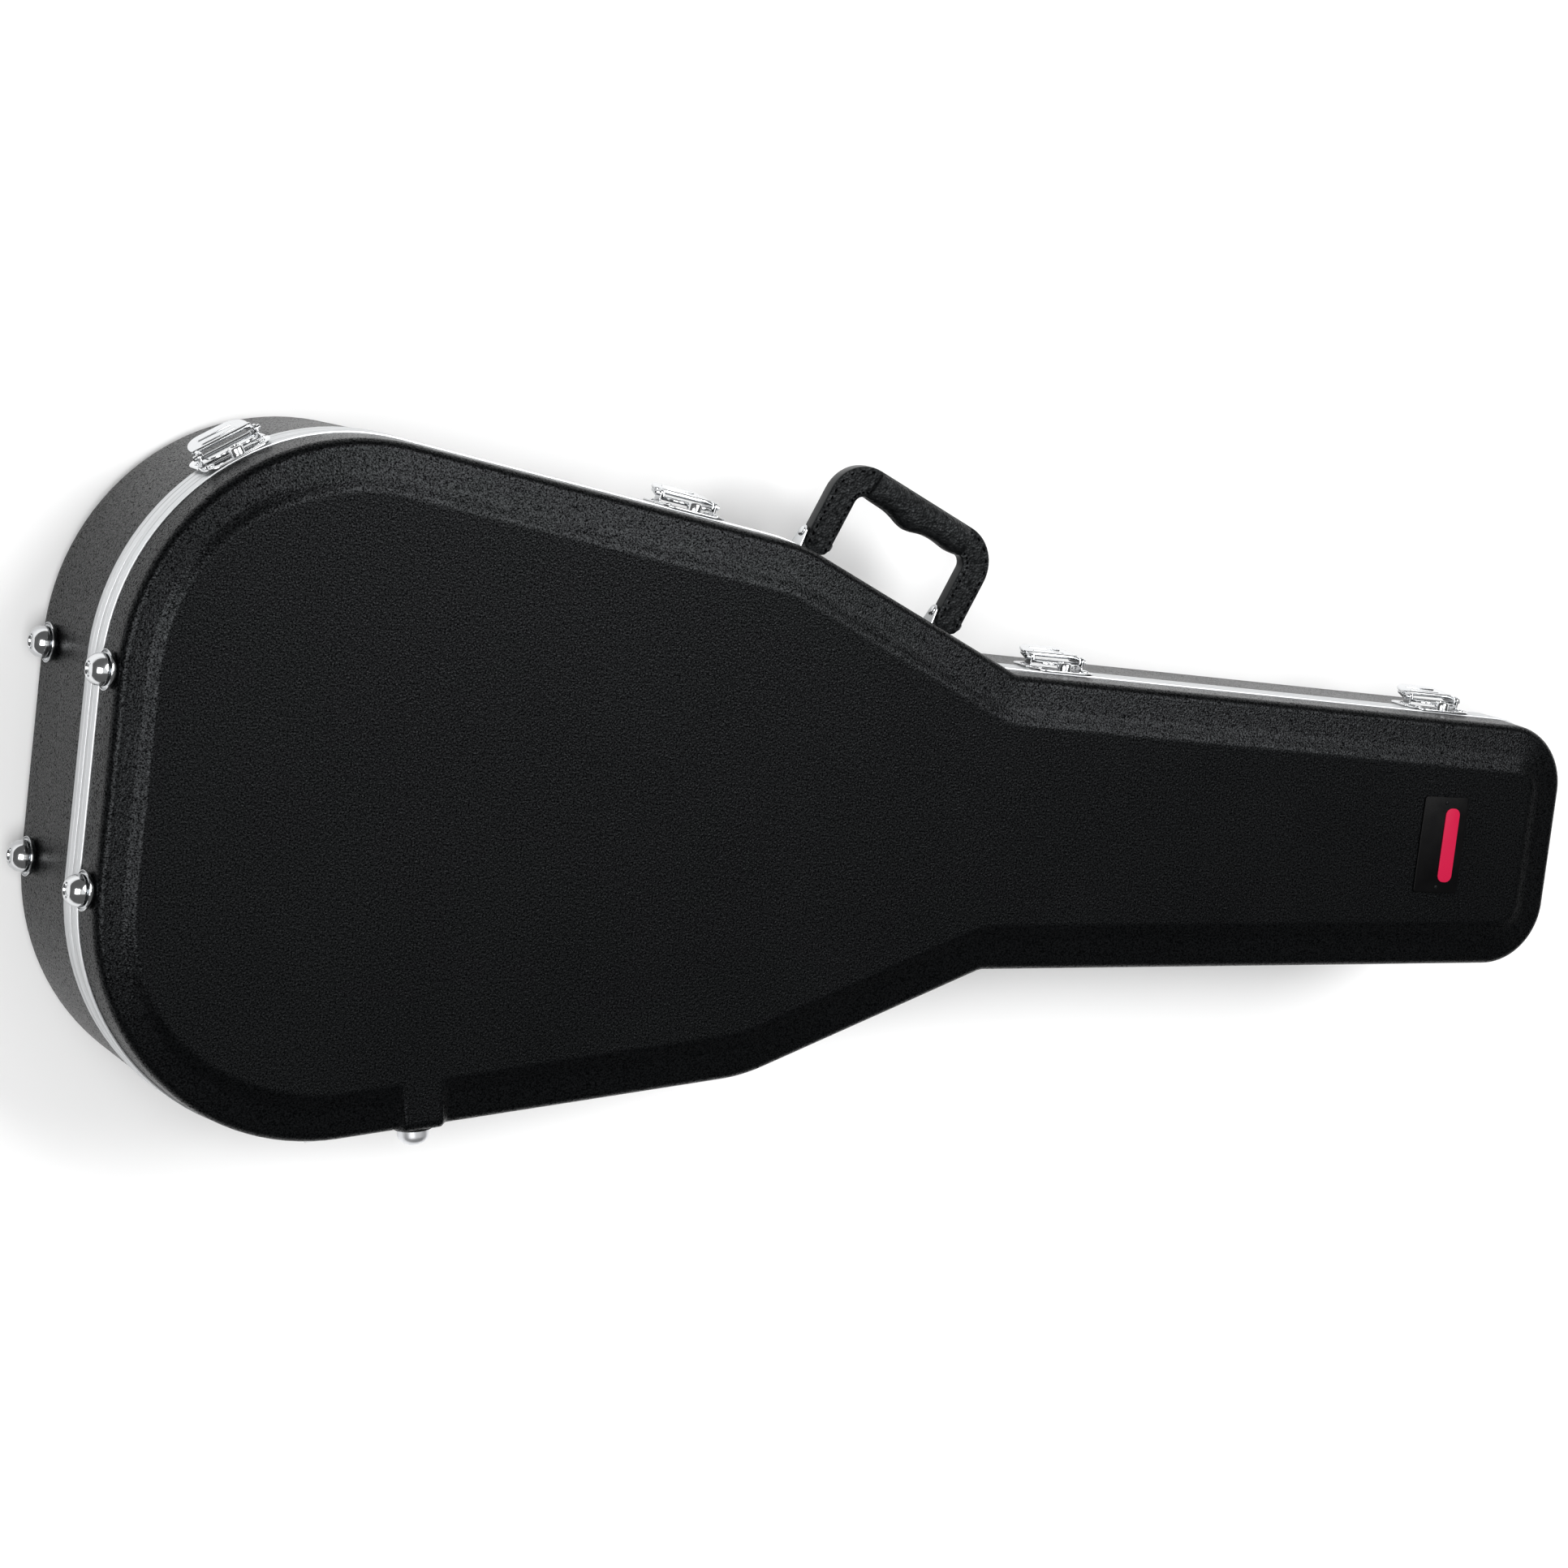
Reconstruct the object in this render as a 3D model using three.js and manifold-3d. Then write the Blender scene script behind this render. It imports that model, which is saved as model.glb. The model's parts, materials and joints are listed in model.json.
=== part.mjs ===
// Hard guitar case: two moulded shells with metal rims, joined by three hinges along one side and
// closed by four draw latches along the other. It lies on its back.
// Millimetres. +X runs from the butt end to the neck end, +Y points to the handle side, +Z out of
// the lid. The origin is the centre of the flat back, and z = 0 is the plane it rests on.
import * as THREE from 'three';
import { mergeVertices } from 'three/addons/utils/BufferGeometryUtils.js';
import Module from 'manifold-3d';

const wasm = await Module();
wasm.setup();

// ---- driving dimensions --------------------------------------------------------------------

const LENGTH = 1120;
// The outline's corners on the +Y side: x from the butt end, half width there, corner radius.
const CORNERS = [
  { name: 'bout', x: 0, y: 257, radius: 160, steps: 8 },
  { name: 'upper_bout', x: 474, y: 182, radius: 124, steps: 3 },
  { name: 'neck_root', x: 649, y: 104.5, radius: 17, steps: 2 },
  { name: 'neck_end', x: LENGTH, y: 88, radius: 48, steps: 6 },
];
const [BOUT, UPPER_BOUT, NECK_ROOT, NECK_END] = CORNERS;

const PARTING_Z = 120;      // the plane where lid and base meet
const SHELL_WALL = 2.6;
const DRAFT = 0.06;         // inward lean of the shell walls, mm per mm
const EDGE_RADIUS = 7;      // rounding between a shell's wall and its face
const BAND_RISE = 1.5;      // rise of the rim band between the rounding and the step
const STEP_RISE = 4.5;      // rise of the step up to the raised face
const STEP_FOOT = 26;       // inset of the step's foot from the outline
const STEP_HEAD = 35;       // inset of the raised face
const GAP = 0.3;            // clearance between pieces that touch

// side is +1 for the lid and -1 for the base; edge and rim are distances from the parting plane.
const LID = { side: 1, edge: 42.6, rim: 2.6 };
const BASE = { side: -1, edge: 114, rim: 4.7 };
const LID_FACE = LID.edge + BAND_RISE + STEP_RISE;

const VALANCE = { height: 13, flange: 1, web: 2, inner: 7, tongueIn: 2.9, tongueOut: 5.1, depth: 1.9 };
const SHELL_INSET = VALANCE.flange + GAP;

const PAD = { wall: 18, floorWall: 22, baseFloor: 18, lidCeiling: 155 };
const COMPARTMENT = { x0: 664, x1: 757, halfWidth: 70, top: 60, wall: 5, lid: 4, flap: 88 };
const NECK_REST = { x0: 763, x1: 828, halfWidth: 67, top: 98, notch: 31, notchFloor: 72 };

const HINGE = { at: [198, 320, 436], out: 5.5, knuckle: 3.4, pin: 1.4, width: 44, leaf: 1.6, reach: 20 };
const LATCH_X = { body: 402, neck: 703, head: 1026 };
const LATCH_BOUT_ANGLE = 120.5;
// Heights (V) and distances out of the wall (N) of the lever's pivot, of the link's and of the lever's
// rolled edge, and the length and outward tilt of its finger plate. Then the distances from the
// latch's middle to the plate's ears and the lever's cheeks, and the keeper's post with its clearance.
const LATCH = {
  pivotV: -4, pivotN: 7.5, linkV: -8, linkN: 5, width: 50, metal: 1.4,
  edgeV: -11.6, edgeN: 9.4, roll: 1.6, finger: 16.8, halfFinger: 21, flare: 13 * Math.PI / 180,
  ear: 20.2, earRadius: 3.2, eye: 1.5, cheek: 18.2, stub: 1.2, stubEnd: 22.8,
  postV: 9, post: 5, notch: 5.8,
};

// Butt feet are balls in a cupped flange. Spine feet are domes on a washer, on a pad of the shell
// whose face lies seat inside the outline.
const FOOT = { radius: 10.6, flange: 13.2, height: 15, lidH: 28, baseH: 87, buttY: 70 };
const SPINE_FOOT = { x: 240, pad: 32, seat: 1, washer: 13.8, thick: 1.2, radius: 10.4, height: 13.3 };
const HANDLE = {
  s: 99, z: 94, out: 14, width: 140, height: 63, leg: 21, thick: 11, grip: 21,
  corner: 28, underside: 42, foot: -9, footRadius: 5, wrap: 42,
  bore: 2.3, rivet: 2, rivetHead: 3.4, ear: 5, earMetal: 1.5,
};
const BADGE = { x: 1013, length: 38, width: 70, thick: 1.4 };

const SHELL_BLACK = { color: 0x1d1e20, roughness: 0.55, metalness: 0 };
const RIM_METAL = { color: 0xd9dadb, roughness: 0.35, metalness: 1 };
const CHROME = { color: 0xe8e9ea, roughness: 0.12, metalness: 1 };
const PLUSH = { color: 0x141416, roughness: 0.95, metalness: 0 };
const LEATHER = { color: 0x161617, roughness: 0.6, metalness: 0 };
const BADGE_BLACK = { color: 0x0d0d0e, roughness: 0.4, metalness: 0 };
const BADGE_RED = { color: 0xb5122a, roughness: 0.35, metalness: 0 };

const guitarCase = new THREE.Group();

// ---- small helpers -------------------------------------------------------------------------

function add(name, geometry, finish, parent = guitarCase) {
  const mesh = new THREE.Mesh(geometry, new THREE.MeshStandardMaterial(finish));
  mesh.name = name;
  parent.add(mesh);
  return mesh;
}

function toManifold(geometry) {
  const bare = geometry.index ? geometry.toNonIndexed() : geometry.clone();
  bare.deleteAttribute('normal');
  bare.deleteAttribute('uv');
  const merged = mergeVertices(bare, 1e-4);
  return new wasm.Manifold(new wasm.Mesh({
    numProp: 3,
    vertProperties: new Float32Array(merged.attributes.position.array),
    triVerts: new Uint32Array(merged.index.array),
  }));
}

function toGeometry(manifold) {
  const mesh = manifold.getMesh();
  const geometry = new THREE.BufferGeometry();
  geometry.setAttribute('position', new THREE.BufferAttribute(new Float32Array(mesh.vertProperties), 3));
  geometry.setIndex(new THREE.BufferAttribute(new Uint32Array(mesh.triVerts), 1));
  geometry.computeVertexNormals();
  return geometry;
}

function join(...pieces) {
  return toGeometry(pieces.map(toManifold).reduce((sum, piece) => sum.add(piece)));
}

function cut(body, ...tools) {
  return toGeometry(tools.map(toManifold).reduce((rest, tool) => rest.subtract(tool), toManifold(body)));
}

function box(x0, x1, y0, y1, z0, z1) {
  const geometry = new THREE.BoxGeometry(x1 - x0, y1 - y0, z1 - z0);
  geometry.translate((x0 + x1) / 2, (y0 + y1) / 2, (z0 + z1) / 2);
  return geometry;
}

// A cylinder along X from x0 to x1, about the line through (y, z).
function rod(x0, x1, y, z, radius, segments = 12) {
  const geometry = new THREE.CylinderGeometry(radius, radius, x1 - x0, segments);
  geometry.rotateZ(Math.PI / 2);
  geometry.translate((x0 + x1) / 2, y, z);
  return geometry;
}

// A flat shape drawn in X and Y, standing from z0 to z1.
function slab(shape, z0, z1, curveSegments = 3) {
  const geometry = new THREE.ExtrudeGeometry(shape, { depth: z1 - z0, bevelEnabled: false, curveSegments });
  geometry.translate(0, 0, z0);
  return geometry;
}

// A flat shape drawn in Y and Z, running from x0 to x1.
function prism(shape, x0, x1, curveSegments = 3) {
  const geometry = slab(shape, 0, x1 - x0, curveSegments);
  geometry.rotateX(Math.PI / 2);
  geometry.rotateZ(Math.PI / 2);
  geometry.translate(x0, 0, 0);
  return geometry;
}

function polygon(points) {
  return new THREE.Shape(points.map(([x, y]) => new THREE.Vector2(x, y)));
}

// A rectangle with its own radius at each of the low-Y and high-Y corners.
function roundedPlate(x0, x1, y0, y1, lowRadius, highRadius) {
  const shape = new THREE.Shape();
  shape.moveTo(x0 + lowRadius, y0);
  shape.lineTo(x1 - lowRadius, y0);
  shape.absarc(x1 - lowRadius, y0 + lowRadius, lowRadius, -Math.PI / 2, 0, false);
  shape.absarc(x1 - highRadius, y1 - highRadius, highRadius, 0, Math.PI / 2, false);
  shape.absarc(x0 + highRadius, y1 - highRadius, highRadius, Math.PI / 2, Math.PI, false);
  shape.absarc(x0 + lowRadius, y0 + lowRadius, lowRadius, Math.PI, Math.PI * 1.5, false);
  return shape;
}

// ---- the outline and the surfaces that follow it ---------------------------------------------

// Every corner of the outline, anticlockwise from above, starting at the bout on the -Y side.
const OUTLINE = [
  ...CORNERS.map((corner) => ({ ...corner, y: -corner.y })),
  ...CORNERS.slice().reverse(),
].map((corner) => ({ ...corner, x: corner.x - LENGTH / 2 }));

// Each corner as an arc: its centre, first angle, turn and radius, concave where the turn is negative.
function cornerArc(index) {
  const here = OUTLINE[index];
  const before = OUTLINE[(index + OUTLINE.length - 1) % OUTLINE.length];
  const after = OUTLINE[(index + 1) % OUTLINE.length];
  const incoming = Math.atan2(here.y - before.y, here.x - before.x);
  const outgoing = Math.atan2(after.y - here.y, after.x - here.x);
  const turn = Math.atan2(Math.sin(outgoing - incoming), Math.cos(outgoing - incoming));
  const sense = Math.sign(turn);
  const setback = here.radius * Math.tan(Math.abs(turn) / 2);
  const startX = here.x - setback * Math.cos(incoming);
  const startY = here.y - setback * Math.sin(incoming);
  return {
    x: startX - sense * here.radius * Math.sin(incoming),
    y: startY + sense * here.radius * Math.cos(incoming),
    from: incoming - sense * Math.PI / 2,
    turn,
    sense,
    radius: here.radius,
    steps: here.steps,
  };
}

const ARCS = OUTLINE.map((corner, index) => cornerArc(index));

// The outline moved inward by inset, at height z.
function ring(inset, z) {
  const points = [];
  for (const arc of ARCS) {
    const radius = arc.radius - arc.sense * inset;
    for (let step = 0; step <= arc.steps; step += 1) {
      const angle = arc.from + arc.turn * step / arc.steps;
      points.push(new THREE.Vector3(arc.x + radius * Math.cos(angle), arc.y + radius * Math.sin(angle), z));
    }
  }
  return points;
}

// A closed body through a row of rings. An open row gets a flat cap at each end; the first cap faces
// down and the last faces up. The body lies to the right of the row, with insets drawn to the right.
function loft(profile, closed = false) {
  const rings = profile.map(([inset, z]) => ring(inset, z));
  const count = rings[0].length;
  const positions = rings.flat().flatMap((point) => point.toArray());
  const index = [];
  const last = closed ? rings.length : rings.length - 1;
  for (let row = 0; row < last; row += 1) {
    const low = row * count;
    const high = ((row + 1) % rings.length) * count;
    for (let i = 0; i < count; i += 1) {
      const j = (i + 1) % count;
      index.push(low + i, low + j, high + j, low + i, high + j, high + i);
    }
  }
  if (!closed) {
    const topStart = (rings.length - 1) * count;
    const flat = (points) => points.map((point) => new THREE.Vector2(point.x, point.y));
    for (const [a, b, c] of THREE.ShapeUtils.triangulateShape(flat(rings[0]), [])) index.push(a, c, b);
    for (const [a, b, c] of THREE.ShapeUtils.triangulateShape(flat(rings.at(-1)), [])) {
      index.push(topStart + a, topStart + b, topStart + c);
    }
  }
  const geometry = new THREE.BufferGeometry();
  geometry.setAttribute('position', new THREE.Float32BufferAttribute(positions, 3));
  geometry.setIndex(index);
  geometry.computeVertexNormals();
  return geometry;
}

function wallInset(half, distance) {
  return SHELL_INSET + DRAFT * (distance - half.rim);
}

// The shell's outer surface moved inward by depth, as [inset, distance from the parting plane],
// from the raised face to the rim.
function skin(half, depth, steps = 4) {
  const radius = Math.max(EDGE_RADIUS - depth, 0.6);
  const arcInset = wallInset(half, half.edge - EDGE_RADIUS) + Math.max(EDGE_RADIUS, depth + 0.6);
  const arcHeight = half.edge - Math.max(EDGE_RADIUS, depth + 0.6);
  const points = [
    [STEP_HEAD + 0.45 * depth, half.edge + BAND_RISE + STEP_RISE - depth],
    [STEP_FOOT + 0.25 * depth, half.edge + BAND_RISE - depth],
  ];
  for (let step = 0; step <= steps; step += 1) {
    const angle = Math.PI / 2 * (1 - step / steps);
    points.push([arcInset - radius * Math.cos(angle), arcHeight + radius * Math.sin(angle)]);
  }
  points.push([wallInset(half, half.rim) + depth, half.rim]);
  return points;
}

function heights(half, points) {
  return points.map(([inset, distance]) => [inset, PARTING_Z + half.side * distance]);
}

// A point on the outline's straight side between two corners, at x from the butt end, and the
// direction out of it. side is the sign of y.
function sidePoint(from, to, x, side) {
  const share = (x - from.x) / (to.x - from.x);
  const run = new THREE.Vector3(to.x - from.x, side * (to.y - from.y), 0).normalize();
  const out = new THREE.Vector3(-side * run.y, side * run.x, 0);
  return {
    point: new THREE.Vector3(x - LENGTH / 2, side * (from.y + share * (to.y - from.y)), 0),
    out,
  };
}

// A point on a corner's arc, by its direction from the arc's centre in degrees.
function arcPoint(arc, degrees) {
  const out = new THREE.Vector3(Math.cos(degrees * Math.PI / 180), Math.sin(degrees * Math.PI / 180), 0);
  return { point: new THREE.Vector3(arc.x, arc.y, 0).addScaledVector(out, arc.radius), out };
}

// A group standing on the case's side: local X runs along the side, local Y is up (+Z of the case)
// and local Z points outward. lean tips the outward direction up, in radians.
function onWall({ point, out }, z, outward = 0, lean = 0) {
  const group = new THREE.Group();
  const up = new THREE.Vector3(0, 0, 1);
  const along = new THREE.Vector3().crossVectors(up, out);
  group.quaternion.setFromRotationMatrix(new THREE.Matrix4().makeBasis(along, up, out));
  group.rotateX(-lean);
  group.position.copy(point).addScaledVector(out, outward).setZ(z);
  guitarCase.add(group);
  return group;
}

// ---- shells, rims and lining -----------------------------------------------------------------

// A pad moulded into the shell's spine side for a foot: its outer face is upright, without the wall's
// draft, and it runs into the shell's face. Drawn out from the wall and up from the parting plane.
function footPad(half, low, high, reach) {
  const { x, pad: length, seat } = SPINE_FOOT;
  const side = sidePoint(BOUT, UPPER_BOUT, x, -1);
  const overlap = 1.5;
  const inner = skin(half, overlap).filter(([inset, distance]) => inset <= reach && distance >= low);
  const shape = polygon([
    [-wallInset(half, low) - overlap, low],
    [-seat, low + 1],
    [-seat, high - 4],
    [-seat - 1.5, high - 1],
    [-seat - 4.5, high],
    [-reach, high],
    ...inner.map(([inset, distance]) => [-inset, distance]),
  ]);
  const pad = slab(shape, -length / 2, length / 2);
  const up = new THREE.Vector3(0, 0, half.side);
  const along = new THREE.Vector3().crossVectors(side.out, up);
  pad.applyMatrix4(new THREE.Matrix4().makeBasis(side.out, up, along));
  pad.translate(side.point.x, side.point.y, PARTING_Z);
  return pad;
}

function shells() {
  const outer = (half) => heights(half, skin(half, 0));
  const inner = (half) => heights(half, skin(half, SHELL_WALL, 2));
  const baseProfile = [...outer(BASE), ...inner(BASE).reverse()];
  const lidProfile = [...inner(LID), ...outer(LID).reverse()];
  add('base_shell', join(loft(baseProfile), footPad(BASE, 60, BASE.edge + 1, 24)), SHELL_BLACK);
  add('lid_shell', join(loft(lidProfile), footPad(LID, 13.6, LID_FACE, STEP_HEAD + 0.6)), SHELL_BLACK);
}

// The two rims: each wraps its shell's edge, and the lid's tongue drops into the base's groove.
function valances() {
  const { height, flange, web, inner, tongueIn, tongueOut, depth } = VALANCE;
  const half = GAP / 2;
  const lidWeb = LID.rim - GAP;
  const baseWeb = BASE.rim - GAP;
  const lid = [
    [0, half], [0, height], [flange, height], [flange, lidWeb], [inner, lidWeb], [inner, half],
    [tongueOut, half], [tongueOut, -depth], [tongueIn, -depth], [tongueIn, half],
  ];
  const grooveIn = tongueIn - 0.5;
  const grooveOut = tongueOut + 0.5;
  const grooveFloor = -(baseWeb - web);
  const base = [
    [0, -height], [0, -half], [grooveIn, -half], [grooveIn, grooveFloor], [grooveOut, grooveFloor],
    [grooveOut, -half], [inner, -half], [inner, -baseWeb], [flange, -baseWeb], [flange, -height],
  ];
  const placed = (points) => points.map(([inset, distance]) => [inset, PARTING_Z + distance]);
  add('lid_valance', loft(placed(lid), true), RIM_METAL);
  add('base_valance', loft(placed(base), true), RIM_METAL);
}

// Every point of an arc of the outline, with the direction out of the case there.
function arcSamples(arc) {
  const samples = [];
  for (let step = 0; step <= arc.steps; step += 1) {
    const angle = arc.from + arc.turn * step / arc.steps;
    const radial = new THREE.Vector3(Math.cos(angle), Math.sin(angle), 0);
    const point = new THREE.Vector3(arc.x, arc.y, 0).addScaledVector(radial, arc.radius);
    samples.push({ point, out: radial.multiplyScalar(arc.sense) });
  }
  return samples;
}

// A pad along part of the wall: a closed section of [inset, z], drawn clockwise, swept through samples
// of the outline that run anticlockwise from above.
function wallPad(section, samples) {
  const positions = section.flatMap(([inset, z]) => (
    samples.flatMap(({ point, out }) => [point.x - out.x * inset, point.y - out.y * inset, z])
  ));
  const count = samples.length;
  const index = [];
  for (let row = 0; row < section.length; row += 1) {
    const low = row * count;
    const high = ((row + 1) % section.length) * count;
    for (let i = 0; i + 1 < count; i += 1) {
      index.push(low + i, low + i + 1, high + i + 1, low + i, high + i + 1, high + i);
    }
  }
  const flat = section.map(([inset, z]) => new THREE.Vector2(inset, z));
  const end = count - 1;
  for (const [a, b, c] of THREE.ShapeUtils.triangulateShape(flat, [])) {
    index.push(a * count, c * count, b * count);
    index.push(a * count + end, b * count + end, c * count + end);
  }
  const geometry = new THREE.BufferGeometry();
  geometry.setAttribute('position', new THREE.Float32BufferAttribute(positions, 3));
  geometry.setIndex(index);
  geometry.computeVertexNormals();
  return geometry;
}

// The four lengths of wall that carry a side pad each. They part at the middle of both ends and where
// the neck begins, with GAP between them.
function padRuns() {
  const arcs = ARCS.map(arcSamples);
  const middle = (end, side) => ({
    point: new THREE.Vector3(end * LENGTH / 2, side * GAP / 2, 0),
    out: new THREE.Vector3(end, 0, 0),
  });
  const slid = ({ point, out }, distance) => {
    const along = new THREE.Vector3(0, 0, 1).cross(out);
    return { point: point.clone().addScaledVector(along, distance), out };
  };
  return {
    body_pad_spine_side: [middle(-1, -1), ...arcs[0], ...arcs[1], ...arcs[2]],
    neck_pad_spine_side: [slid(arcs[2].at(-1), GAP), ...arcs[3], middle(1, -1)],
    neck_pad_handle_side: [middle(1, 1), ...arcs[4], slid(arcs[5][0], -GAP)],
    body_pad_handle_side: [...arcs[5], ...arcs[6], ...arcs[7], middle(-1, 1)],
  };
}

// The padded linings: in each half a pad lies on the face, and four side pads run from it to the rim.
function linings() {
  const { wall, floorWall, baseFloor, lidCeiling } = PAD;
  const fit = SHELL_WALL + 0.4;
  const wallAt = (half, z) => [wallInset(half, Math.abs(z - PARTING_Z)) + fit, z];
  const face = (half) => heights(half, skin(half, fit, 2)).slice(0, -1);
  add('base_floor_pad', loft([...face(BASE), wallAt(BASE, baseFloor)]), PLUSH);
  add('lid_ceiling_pad', loft([wallAt(LID, lidCeiling), ...face(LID).reverse()]), PLUSH);
  const baseFoot = baseFloor + GAP;
  const baseTop = PARTING_Z - BASE.rim - 0.2;
  const baseSection = [
    wallAt(BASE, baseFoot), wallAt(BASE, baseTop), [wall, baseTop],
    [wall + 3, baseFloor + 14], [floorWall + 2, baseFloor + 5], [floorWall + 7, baseFoot],
  ];
  const lidFoot = lidCeiling - GAP;
  const lidRim = PARTING_Z + LID.rim + GAP;
  const lidSection = [
    wallAt(LID, lidRim), wallAt(LID, lidFoot), [floorWall + 4, lidFoot],
    [wall + 2.5, lidCeiling - 6], [wall, lidRim],
  ];
  for (const [name, samples] of Object.entries(padRuns())) {
    add(`base_${name}`, wallPad(baseSection, samples), PLUSH);
    add(`lid_${name}`, wallPad(lidSection, samples), PLUSH);
  }
}

// ---- inside the base -------------------------------------------------------------------------

function accessoryCompartment() {
  const { x0, x1, halfWidth, top, wall, lid, flap } = COMPARTMENT;
  const start = x0 - LENGTH / 2;
  const end = x1 - LENGTH / 2;
  const floor = PAD.baseFloor + GAP;
  const outer = box(start, end, -halfWidth, halfWidth, floor, top);
  const hollow = box(start + wall, end - wall, -halfWidth + wall, halfWidth - wall, floor + wall, top + 1);
  const flapSeat = box(start - 1, end + 1, -halfWidth - 1, halfWidth + 1, top - lid - GAP, top + 1);
  add('compartment_box', cut(outer, hollow, flapSeat), PLUSH);
  const flapShape = roundedPlate(-flap, 0, -halfWidth, halfWidth, 3, 3);
  const flapMesh = add('compartment_flap', slab(flapShape, 0, lid), PLUSH);
  flapMesh.position.set(end - 2, 0, top - lid);
  const tab = join(
    slab(roundedPlate(0, 26, -9, 9, 2, 2), 0, 1),
    slab(roundedPlate(-1.2, 1.2, -9, 9, 0.5, 0.5), 0, 9),
  );
  const tabMesh = add('compartment_pull_tab', tab, LEATHER);
  tabMesh.position.set(end - flap + 6, 0, top + GAP);
}

function neckRest() {
  const { x0, x1, halfWidth, top, notch, notchFloor } = NECK_REST;
  const floor = PAD.baseFloor + GAP;
  const shape = new THREE.Shape();
  shape.moveTo(-halfWidth, floor);
  shape.lineTo(halfWidth, floor);
  shape.lineTo(halfWidth, top - 8);
  shape.quadraticCurveTo(halfWidth, top, halfWidth - 8, top);
  shape.lineTo(notch + 6, top);
  shape.quadraticCurveTo(notch, top, notch, top - 6);
  shape.quadraticCurveTo(notch, notchFloor, 0, notchFloor);
  shape.quadraticCurveTo(-notch, notchFloor, -notch, top - 6);
  shape.quadraticCurveTo(-notch, top, -notch - 6, top);
  shape.lineTo(-halfWidth + 8, top);
  shape.quadraticCurveTo(-halfWidth, top, -halfWidth, top - 8);
  add('neck_rest', prism(shape, x0 - LENGTH / 2, x1 - LENGTH / 2, 6), PLUSH);
}

// ---- hinges ----------------------------------------------------------------------------------

// One leaf: a plate on the rim and wall, and knuckles about the pin. slots are [from, to] along it.
function hingeLeaf(side, slots) {
  const { out, knuckle, pin, width, leaf, reach } = HINGE;
  const plateTop = knuckle + 0.6;
  const plate = box(-width / 2, width / 2, plateTop, reach, GAP, GAP + leaf);
  const pieces = [side > 0 ? plate : plate.clone().rotateZ(Math.PI)];
  for (const [from, to] of slots) {
    pieces.push(rod(from, to, 0, out, knuckle));
    const web = polygon([[0, GAP], [plateTop + 1, GAP], [plateTop + 1, GAP + leaf], [1, out]]);
    const webPiece = prism(web, from, to);
    if (side < 0) webPiece.rotateZ(Math.PI).translate(from + to, 0, 0);
    pieces.push(webPiece);
  }
  const bore = rod(-width / 2 - 1, width / 2 + 1, 0, out, pin + GAP);
  return cut(join(...pieces), bore);
}

function hinges() {
  const half = HINGE.width / 2;
  const step = HINGE.width / 5;
  const slot = (n) => [
    -half + n * step + (n > 0 ? GAP / 2 : 0),
    -half + (n + 1) * step - (n < 4 ? GAP / 2 : 0),
  ];
  HINGE.at.forEach((x, n) => {
    const group = onWall(sidePoint(BOUT, UPPER_BOUT, x, -1), PARTING_Z);
    add(`hinge_${n + 1}_base_leaf`, hingeLeaf(-1, [slot(0), slot(2), slot(4)]), CHROME, group);
    add(`hinge_${n + 1}_lid_leaf`, hingeLeaf(1, [slot(1), slot(3)]), CHROME, group);
    const pin = rod(-half + 0.5, half - 0.5, 0, HINGE.out, HINGE.pin, 12);
    add(`hinge_${n + 1}_pin`, pin, CHROME, group);
  });
}

// ---- latches ---------------------------------------------------------------------------------

// The fixed half on the base rim: a half-round plate with two ears for the lever's pivots.
function latchPlate() {
  const { pivotV, pivotN, width, metal, ear, earRadius, eye } = LATCH;
  const plate = slab(roundedPlate(-width / 2, width / 2, -26, -1.2, 11, 2), GAP, GAP + metal);
  const shape = new THREE.Shape();
  shape.moveTo(-10, 1);
  shape.lineTo(-1.4, 1);
  shape.lineTo(pivotV + earRadius, pivotN);
  shape.absarc(pivotV, pivotN, earRadius, 0, Math.PI, false);
  const hole = new THREE.Path();
  hole.absarc(pivotV, pivotN, eye, 0, Math.PI * 2, true);
  shape.holes.push(hole);
  return join(plate, prism(shape, ear, ear + metal, 5), prism(shape, -ear - metal, -ear, 5));
}

// The lever: a half-round finger plate that flares away from the wall, with a rolled upper edge and
// two raised lines, on side cheeks with two stub pivots. The edge stops short of the pivot so that
// the link can fold past it.
function latchLever() {
  const { pivotV, pivotN, edgeV, edgeN, roll, finger, halfFinger, flare } = LATCH;
  const { metal, cheek, stub, stubEnd } = LATCH;
  const lines = [-9.8, -3.4].map((v) => box(-12, 12, v - 0.5, v + 0.5, 0.4, 1.2));
  const outline = roundedPlate(-halfFinger, halfFinger, -finger, 0, 12, 0.5);
  const plate = join(slab(outline, -metal / 2, metal / 2, 4), ...lines);
  plate.rotateX(-flare).translate(0, edgeV, edgeN);
  const shape = polygon([
    [-20, 11.3], [-20, 8], [-8, 3.6], [-4, 4.6], [-1.6, 5.8],
    [-1.1, 7.5], [-1.9, 9.5], [-4, 10.4], [edgeV, edgeN + 1],
  ]);
  return join(
    plate,
    rod(-halfFinger, halfFinger, edgeV, edgeN, roll, 10),
    prism(shape, cheek, cheek + metal),
    prism(shape, -cheek - metal, -cheek),
    rod(cheek + metal / 2, stubEnd, pivotV, pivotN, stub, 8),
    rod(-stubEnd, -cheek - metal / 2, pivotV, pivotN, stub, 8),
  );
}

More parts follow.
